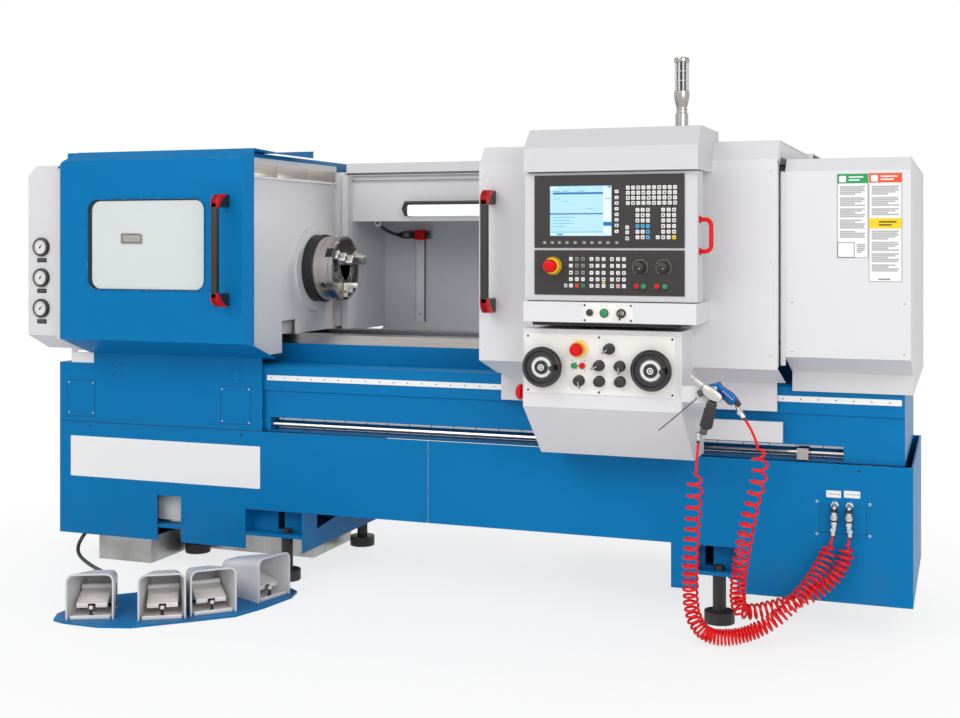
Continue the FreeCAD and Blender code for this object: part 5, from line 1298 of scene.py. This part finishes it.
def make_cabinet_details():
    """The plain instruction sheets, screws and edge strip of the right-hand cabinet."""
    form = Form()
    face = -318
    form.box((1235, face, 866), (1249, face + 16, 1459), "grey_enamel", 0.8)
    for left, right, base, top, header in (
        (1403, 1493, 1196, 1449, "label_green"), (1495, 1590, 1125, 1450, "label_orange"),
    ):
        form.box((left, face - 0.8, base), (right, face, top), "key_grey")
        form.box((left + 1.6, face - 1.2, base + 1.6), (right - 1.6, face - 0.5, top - 29), "white_paint")
        form.box((left + 1, face - 1.2, top - 29), (right - 1, face - 0.5, top - 1), header)
        form.box((left + 34, face - 1.5, top - 12), (right - 14, face - 1.1, top - 8), "white_paint")
        form.box((left + 34, face - 1.5, top - 21), (right - 24, face - 1.1, top - 17), "white_paint")
        form.plate(
            left + 6, top - 25, left + 26, top - 6, 3, face - 1.5, face - 1.1, "white_paint",
            steps=2,
        )
    form.box((1496, face - 1.5, 1284), (1589, face - 1.1, 1315), "yellow_plastic")
    form.box((1524, face - 1.9, 1302), (1574, face - 1.4, 1306), "socket")
    form.box((1524, face - 1.9, 1293), (1560, face - 1.4, 1297), "socket")
    for left, right, high, low in (
        (1411, 1485, 1412, 1250),
        (1460, 1485, 1238, 1204),
        (1503, 1582, 1412, 1322),
        (1503, 1582, 1278, 1150),
    ):
        line_block(form, left, right, high, low, face - 1.2)
    form.box((1522, face - 1.5, 1131), (1556, face - 1.1, 1135), "key_grey")
    form.border(1404, 1197, 1454, 1243, 2, (1, 1), face - 1.6, face - 1.1, "key_grey", 1)
    form.screws([(x, z) for x in (1270, 1596) for z in (910, 1060)], face, "white_paint", 4.6, 1.8)
    form.piece("cabinet_details", "machine")


def make_base_details():
    """Plates, screws and holes on the front of the base, and the panel seen through its notch."""
    form = Form()
    form.plate(-1510, 333, -673, 489, 3, BASE_FACE - 1.2, BASE_FACE, "white_paint", steps=2)
    form.plate(-1505, 777, -1403, 812, 3, BASE_FACE - 1.6, BASE_FACE, "white_paint", steps=2)
    form.screws(
        (
            (-1520, 696), (-1408, 696), (-1520, 579), (-1408, 580), (-834, 695), (-720, 698),
            (-834, 576), (-720, 574),
        ),
        BASE_FACE, "key_white", 3.2, 1.4,
    )
    for left, right in ((-1526, -1400), (-841, -713)):
        form.border(left, 566, right, 708, 1.4, (2, 2), BASE_FACE - 0.5, BASE_FACE, "socket", 1)
    form.screws([(x, z) for x in (-1316, -1279, -791, -758) for z in (769, 730)], BASE_FACE, "socket", 3, 1)
    for x, z in ((-1422, 529), (-753, 528), (1453, 527)):
        form.lathe([(0, 4.4), (0.8, 4.4), (0.8, 2.4)], (x, BASE_FACE, z), FRONT, "socket", 16)
    form.box((-1562, BASE_FACE - 0.6, 544.2), (-665, BASE_FACE, 546.4), "socket")
    form.box((-1148, -84, 171), (-1010, -80, 285), "key_white", 0.8)
    form.box((-1148, -92, 170.5), (-1010, -84, 180), "ground_steel", 0.6)
    for z in (222, 196):
        form.lathe([(0, 3), (0.6, 3)], (-1000, BASE_FACE, z), FRONT, "socket", 12)
    form.border(1333, 326, 1477, 414, 1.2, (2, 2), BASE_FACE - 0.6, BASE_FACE, "socket", 1)
    form.screws(((1325, 424), (1486, 424), (1325, 322), (1486, 325)), BASE_FACE, "key_white", 4.2, 1.6)
    for left, right, low, high in ((1354, 1399, 439, 461), (1408, 1457, 441, 463)):
        form.plate(left, low, right, high, 2, BASE_FACE - 1.2, BASE_FACE, "white_paint", steps=2)
        form.box(
            (left + 6, BASE_FACE - 1.5, (low + high) / 2 - 1.2),
            (right - 12, BASE_FACE - 1.1, (low + high) / 2 + 1.2), "label_ink",
        )
        form.lathe([(0, 2), (1.6, 2)], (right - 6, BASE_FACE, (low + high) / 2), FRONT, "socket", 10)
    form.piece("base_details", "machine")


def make_couplings():
    """Two quick couplings: an elbow from the base, a knurled sleeve, a dark ring and a hexagon."""
    form = Form()
    y, elbow = -166, 416
    for x in (1380, 1425):
        bend = [(x, BASE_FACE + 0.5, elbow), (x, -152, elbow), (x, -160, 413), (x, -165, 406), (x, y, 398)]
        form.tube(bend, 7.5, "chrome", 16)
        form.lathe([(0, 13), (3, 13), (4, 12)], (x, BASE_FACE, elbow), FRONT, "chrome", 6)
        sleeve = [
            (0, 6), (0, 8), (8, 8), (9, 10.5), (20, 10.5), (21, 8), (26, 8), (26, 11.6), (42, 11.6),
            (43, 9), (50, 9),
        ]
        form.lathe(sleeve, (x, y, 348), UP, "chrome", 28)
        form.lathe([(0, 11), (0, 12.2), (4, 12.2), (4, 11)], (x, y, 370), UP, "black_plastic", 28)
        form.lathe([(0, 11), (10, 11), (11, 9)], (x, y, 398), UP, "black_plastic", 6)
        for a, b in arc((x, y), 11.4, 18, 360, 19):
            form.lathe([(0, 0.7), (10, 0.7)], (a, b, 378), UP, "ground_steel", 6)
    form.piece("quick_couplings", "machine", replaces="hose_couplings")


def make_guard_edge():
    """The narrow return along the front and top edges of the carriage guard's right end."""
    form = Form()
    left, right = 1227, 1230.6
    form.box((left, -351, 862), (right, -323, 1493), "grey_enamel", 0.6)
    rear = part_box("carriage_guard")[1].y / MM - 2
    top = [(-351, 1493), (-298, 1552.6), (rear, 1552.6), (rear, 1506), (-276, 1506), (-323, 1463)]
    form.prism(top, "X", left, right, "grey_enamel", 0.6)
    form.piece("guard_edge", "carriage")


for cover in ("station_hood", "panel_housing"):
    give(cover, LOOKS["hood_grey"])
give("bed_casting", bed_look())
give("rail_cover_strip", LOOKS["rail_steel"])
give("levelling_feet", LOOKS["foot_rubber"])
make_bed_details()
make_cabinet_details()
make_base_details()
make_couplings()
make_guard_edge()


# ---------------------------------------------------------------- pedals, beacon, handle and guns

PEDAL_PLACES = ((-923, -814, 25), (-701, -732, 31), (-578, -615, 44), (-482, -375, 75))
PLATE_TOP = 8
MOUTH, THROAT = (155, 150, 26), (104, 112, 20)


def arch(width, height, radius, inset=0, steps=5):
    """The open outline of a guard, from its left foot over two round corners to its right foot."""
    half, top, bend = width / 2 - inset, height - inset, radius - inset
    left = arc((-half + bend, top - bend), bend, 180, 90, steps)
    right = arc((half - bend, top - bend), bend, 90, 0, steps)
    return [(-half, 0), *left, *right, (half, 0)]


def skin(form, first, last, y0, y1, look):
    """A sheet between two open outlines."""
    a = [form.point(x, y0, z) for x, z in first]
    b = [form.point(x, y1, z) for x, z in last]
    faces = [form.mesh.faces.new((a[i], a[i + 1], b[i + 1], b[i])) for i in range(len(a) - 1)]
    form.finish(faces, look)


def pedal_place(index):
    """The place and the turn of a pedal on the base plate."""
    x, y, turn = PEDAL_PLACES[index]
    return Matrix.Translation((x, y, PLATE_TOP)) @ Matrix.Rotation(radians(turn), 4, "Z")


def make_pedal_guards():
    """Four foot guards with round top corners, a raised rim, a tray, a plunger and the hinge brackets."""
    form = Form()
    look = "grey_enamel"
    for index in range(len(PEDAL_PLACES)):
        form.at = pedal_place(index)
        outer_front, outer_rear = arch(*MOUTH), arch(*THROAT)
        inner_front, inner_rear = arch(*MOUTH, 6), arch(*THROAT, 6)
        skin(form, outer_front, outer_rear, 0, 205, look)
        skin(form, inner_front[::-1], inner_rear[::-1], 0, 199, look)
        skin(form, inner_front, outer_front, 0, 0, look)
        form.prism(outer_rear, "Y", 199, 205, look)
        skin(form, arch(*MOUTH, 1), outer_front, 0, 1, look)
        wide = 128
        form.box((-wide / 2, 6, 0.3), (wide / 2, 150, 5), "treadle_steel", 1)
        form.box((-wide / 2, 3, 0.3), (wide / 2, 8, 13), "treadle_steel", 1)
        form.lathe([(5, 9), (9, 9), (9, 5), (28, 5)], (0, 24, 0), UP, "black_plastic", 20)
        form.lathe(
            [(27, 4), (29, 6.4), (33, 7.4), (37, 6.4), (39.4, 3.6), (40, 0)], (0, 24, 0), UP,
            "treadle_steel", 20,
        )
        for side in (-1, 1):
            x = 58 * side
            form.box((x - 4, 126, 5), (x + 4, 148, 84), "black_plastic", 1.5)
            form.lathe([(0, 6), (3, 6), (4, 4.6)], (x - 4 * side, 137, 69), (-side, 0, 0), "chrome", 16)
        for x in (-40, 40):
            form.screw((x, 136, 5), UP, "dark_steel", 4, 2)
    form.at = Matrix()
    form.piece("pedal_guards", "machine", replaces="pedal_housings")


def make_treadle(index):
    """A treadle plate with a folded front lip, side folds and grip ribs, on its hinge rod."""
    form = Form(pedal_place(index))
    look = "treadle_steel"
    rise = tan(radians(16))

    def up(y):
        return 38 + (y - 38) * rise

    plate = [(38, up(38) + 4), (133, up(133) + 4), (133, up(133) + 8), (38, up(38) + 8)]
    form.prism(plate, "X", -50, 50, look, 0.8)
    lip = [(35, 30), (38.4, 30), (38.4, up(38) + 8), (35, up(38) + 7)]
    form.prism(lip, "X", -50, -12, look, 0.8)
    form.prism(lip, "X", 12, 50, look, 0.8)
    for side in (-1, 1):
        fold = [(40, up(40) - 2), (133, up(133)), (133, up(133) + 7), (40, up(40) + 7)]
        form.prism(fold, "X", min(50 * side, 47.4 * side), max(50 * side, 47.4 * side), look, 0.6)
    step = [(84, up(84) + 8), (118, up(118) + 8), (118, up(118) + 9.6), (84, up(84) + 9.6)]
    form.prism(step, "X", -47, 47, look, 0.8)
    for i in range(6):
        y = 48 + 6 * i
        rib = [(y, up(y) + 8), (y + 2.2, up(y + 2.2) + 8), (y + 2.2, up(y + 2.2) + 9.2), (y, up(y) + 9.2)]
        form.prism(rib, "X", -42, 42, look, 0.3)
    form.lathe([(-52, 8.5), (-51, 9), (51, 9), (52, 8.5)], (0, 137, up(137) + 8), RIGHT, "white_paint", 28)
    form.piece(
        f"treadle_plate_{index + 1}", f"treadle_{index + 1}_body",
        replaces=f"treadle_{index + 1}",
    )


surface("satin_chrome", (168, 164, 161), 0.22, 1, 0.08, 20, 200, 0.03, edge=0.5)
surface("lens_rib", (196, 196, 196), 0.3, 0, 0.06, 30, 200, 0.03, edge=0)


def make_beacon():
    """The signal light: a bright pole with a neck, a flared base, a ribbed clear lens and a cap."""
    form = Form()
    centre = (945, -390, 0)
    pole = [
        (1591, 22), (1594, 22), (1595, 20), (1640, 20), (1642, 16.5), (1650, 16.5), (1651, 17.6),
        (1653, 17.6), (1654, 16.5),
    ]
    pole += [(1660, 16.5), (1664, 18), (1684, 22.5), (1694, 24), (1708, 24), (1710, 21)]
    form.lathe(pole, centre, UP, "satin_chrome", 40)
    form.lathe([(1710, 13), (1797, 13)], centre, UP, "black_gloss", 24)
    for x, y in arc(centre, 18.5, 16, 336, 8):
        form.lathe([(1709, 3.5), (1798, 3.5)], (x, y, 0), UP, "lens_rib", 12)
    for z in (1739, 1768):
        form.lathe([(z, 15), (z, 21.4), (z + 2, 21.4), (z + 2, 15)], centre, UP, "lens_rib", 36)
    cap = [
        (1797, 23), (1801, 24), (1804, 24), (1804.6, 22.6), (1808, 22.6), (1808.6, 23.6),
        (1811, 23), (1813.4, 19), (1814, 10), (1814, 0),
    ]
    form.lathe(cap, centre, UP, "satin_chrome", 40)
    form.piece("signal_light", "carriage", replaces="warning_beacon")


def make_panel_handle():
    """The red bow handle on the panel's right side."""
    form = Form()
    y, low, high, far, bend = -521.5, 1216, 1311, 1060, 18
    path = [(1022, low), *arc((far - bend, low + bend), bend, 270, 360)]
    path += [*arc((far - bend, high - bend), bend, 0, 90), (1022, high)]
    form.tube([(x, y, z) for x, z in path], 6.6, "red_plastic", 16)
    for z in (low, high):
        form.lathe([(0, 11), (4, 11), (6, 8)], (1025, y, z), RIGHT, "red_plastic", 24)
    form.piece("panel_pull", "panel", replaces="panel_handle")


SILVER_Y, BLUE_Y = -530, -492


def make_silver_gun():
    """The silver blow gun: a cast body, a thin lance, a dark trigger and a black ribbed grip."""
    form = Form()
    y = SILVER_Y
    body = [
        (1036, 813), (1043, 824), (1067, 814), (1093, 793), (1096, 781), (1087, 772), (1071, 774),
        (1056, 781), (1037, 798),
    ]
    nose = [(998, 847), (1004, 851), (1019, 839), (1041, 824), (1036, 813), (1021, 821)]
    form.prism(body, "Y", y - 13, y + 13, "bright_alloy", 5)
    form.prism(nose, "Y", y - 8, y + 8, "bright_alloy", 3)
    trigger = [(1019, 801), (1026, 808), (1041, 794), (1034, 785), (1026, 786)]
    form.prism(trigger, "Y", y - 6, y + 6, "dark_steel", 1.5)
    form.tube([(1030, y, 790), (1000, y, 764), (953, y, 722), (903, y, 679)], 1.7, "dark_steel", 10)
    form.lathe([(0, 4), (16, 4), (20, 2.4)], (1034, y, 794), (-0.73, 0, -0.68), "chrome", 16)
    grip = [(1052, 777), (1078, 770), (1062, 690), (1050, 690), (1027, 698), (1029, 706)]
    form.prism(grip, "Y", y - 13, y + 13, "black_plastic", 5.5)
    for i in range(9):
        share = 0.12 + 0.09 * i
        left = (1052 - 23 * share, 777 - 71 * share)
        right = (1078 - 16 * share, 770 - 80 * share)
        rib = [
            (left[0] - 0.8, left[1]), (right[0] + 0.8, right[1]), (right[0] + 0.2, right[1] - 3),
            (left[0] - 1.4, left[1] - 3),
        ]
        form.prism(rib, "Y", y - 13.8, y + 13.8, "cable_rubber", 1)
    form.prism([(1029, 694), (1051, 690), (1046, 672), (1027, 676)], "Y", y - 10, y + 10, "dark_steel", 3)
    form.tube([(1038, y, 682), (1031, y, 676), (1025, y, 668)], 6.2, "satin_chrome", 16)
    form.piece("silver_blow_gun", "carriage", replaces="silver_gun")


def make_blue_gun():
    """The blue blow gun hung beside it, with its black fitting."""
    form = Form()
    y = BLUE_Y
    body = [
        (1045, 818), (1069, 825), (1081, 830), (1086, 816), (1117, 797), (1135, 778), (1115, 758),
        (1086, 789), (1065, 808),
    ]
    form.prism(body, "Y", y - 13, y + 13, "blue_alloy", 4.5)
    form.prism([(1088, 792), (1112, 768), (1107, 760), (1080, 786)], "Y", y - 6, y + 6, "dark_steel", 1.5)
    for i in range(5):
        x, z = 1096 + 6.5 * i, 806 - 5.2 * i
        form.lathe([(0, 2.6), (0.8, 2.2)], (x - 3, y - 13, z - 6), FRONT, "chrome", 12)
    form.tube([(1050, y, 817), (1030, y, 813), (1018, y, 806)], 3.2, "chrome", 12)
    form.prism(
        [(1133, 780), (1144, 763), (1136, 754), (1119, 768)], "Y", y - 9, y + 9, "black_plastic",
        2.5,
    )
    form.tube([(1126, y, 769), (1132, y, 756), (1137, y, 741)], 6.6, "satin_chrome", 16)
    form.piece("blue_blow_gun", "carriage", replaces="blue_gun")


make_pedal_guards()
for treadle_index in range(4):
    make_treadle(treadle_index)
make_beacon()
make_panel_handle()
make_silver_gun()
make_blue_gun()


# ---------------------------------------------------------------- sides, back and inner details


def make_rear_door_details():
    """Louvres, the latch and the seam of the electrical cabinet's door."""
    form = Form()
    low, high = box_mm("cabinet_door")
    face = high.y
    for row in range(9):
        z = low.z + 60 + 13 * row
        louvre = [(face - 0.2, z), (face + 1.5, z + 0.6), (face - 0.2, z + 7)]
        form.prism(louvre, "X", high.x - 260, high.x - 70, "grey_enamel")
        form.box((high.x - 258, face - 0.2, z - 1.4), (high.x - 72, face + 0.25, z), "socket")
    latch = rounded(high.x - 52, high.z - 220, high.x - 26, high.z - 120, 8)
    form.prism(latch, "Y", face - 0.4, face + 1.3, "black_plastic", 0.5)
    form.lathe([(0, 7), (1.3, 7), (1.6, 5)], (high.x - 39, face, high.z - 140), BACK, "chrome", 24)
    form.border(
        low.x + 12, low.z + 12, high.x - 12, high.z - 12, 2, (8, 7), face - 0.2, face + 0.3,
        "key_grey",
    )
    form.piece("rear_door_details", "rear_door")


def make_back_seams():
    """Panel joints and their screws on the back and the ends of the covers."""
    form = Form()
    low, high = box_mm("rear_enclosure")
    for x in (low.x + 460, low.x + 920, low.x + 1390):
        form.box((x, high.y - 0.3, low.z + 20), (x + 1.6, high.y + 0.4, high.z - 20), "socket")
        for z in (low.z + 60, (low.z + high.z) / 2, high.z - 60):
            for side in (-14, 15.6):
                form.screw((x + side, high.y, z), BACK, "white_paint", 4.2, 1.8)
    low, high = box_mm("right_cabinet")
    for y in (-270, 40, 350):
        for z in (low.z + 180, 1180, high.z - 80):
            form.screw((high.x - 0.2, y, z), RIGHT, "white_paint", 4.2, 0.2)
    low, high = box_mm("headstock_housing")
    for x in (low.x + 60, high.x - 60):
        for z in (low.z + 90, high.z - 60):
            form.screw((x, high.y, z), BACK, "white_paint", 4.2, 1.8)
    form.piece("back_seams", "machine")


def make_motor_fins():
    """Cooling fins of the main motor."""
    form = Form()
    low, high = box_mm("main_motor")
    middle = ((low.y + high.y) / 2, (low.z + high.z) / 2)
    radius = (high.y - low.y) / 2
    for degrees in range(30, 151, 10):
        fin = spoke(middle, degrees, radius - 2, radius + 5, 1, 0.7)
        form.prism(fin, "X", low.x + 40, high.x - 60, "dark_steel")
    form.piece("motor_fins", "machine")


def make_turret_details():
    """Clamp screws and a centre plate on the face of the tool turret."""
    form = Form()
    low, high = box_mm("tool_turret")
    centre = (low.x, (low.y + high.y) / 2, (low.z + high.z) / 2)
    form.lathe([(0, 26), (1.8, 26), (2.6, 24.5)], centre, LEFT, "jaw_steel", 48)
    reach = (high.z - low.z) / 2
    for share in (0.52, 0.74):
        for y, z in arc(centre[1:], reach * share, 22.5, 337.5, 7):
            form.screw((low.x, y, z), LEFT, "dark_steel", 5, 2.6)
    form.piece("turret_screws", "turret")


def make_front_hardware():
    """Screws on the carriage's pale covers and the red knob left of the apron."""
    form = Form()
    face = -355
    form.screws(
        ((286, 900), (286, 1180), (286, 1460), (1211, 900), (1211, 1180), (1211, 1460)), face,
        "white_paint", 3.6, 1.4,
    )
    form.piece("guard_screws", "carriage")
    knob = Form()
    knob.lathe(
        [(0, 10), (10, 10), (12, 22), (15, 25), (21, 24.5), (27, 20), (31, 12), (32.5, 0)],
        (468.8, -480, 772), LEFT, "red_plastic", 40,
    )
    knob.piece("side_knob", "carriage")


make_rear_door_details()
make_back_seams()
make_motor_fins()
make_turret_details()
make_front_hardware()


# ---------------------------------------------------------------- hoses and cables


def make_fitting(name, body, place, direction):
    """A hexagon nut, a ferrule and a short spring guard on a hose end."""
    form = Form()
    form.lathe([(0, 9), (9, 9), (10, 8)], place, direction, "chrome", 6)
    form.lathe([(10, 7.2), (22, 7.2), (23.5, 6)], place, direction, "chrome", 28)
    for i in range(4):
        form.lathe([(23.5 + i * 2.6, 5.6), (25.2 + i * 2.6, 5.6)], place, direction, "dark_steel", 20)
    return form.piece(name, body)


def direction_between(a, b):
    """The direction from one point to the next."""
    return (Vector(b) - Vector(a)).normalized()


for number, points, start in zip((1, 2), (HOSE_1, HOSE_2), HOSE_STARTS):
    top = make_fitting(f"hose_{number}_gun_fitting", "carriage", points[0], direction_between(*points[:2]))
    low = make_fitting(f"hose_{number}_base_fitting", "machine", points[-1], DOWN)
    make_hose(f"coiled_hose_{number}", f"hose_{number}", points, start, HOSE_END)

PEDAL_ENDS = (("pedal_cable_sleeve", 42, "cable_rubber"), ("pedal_cable_gland", 42, "cable_rubber"))
SWITCH_ENDS = (("switch_cable_gland", 34, "white_paint"), ("switch_cable_sleeve", 24, "cable_rubber"))
for cable, node, route, sleeves in (
    ("pedal_cable", "pedal_cables", PEDAL_CABLE, PEDAL_ENDS),
    ("door_switch_cable", "switch_cable", SWITCH_CABLE, SWITCH_ENDS),
):
    for points, (sleeve, length, look) in zip((route, route[::-1]), sleeves):
        ahead = direction_between(*points[:2])
        relief(sleeve, "machine", points[0], ahead, length, 10, 7.6, look)
    make_cable(cable, node, "machine", route)
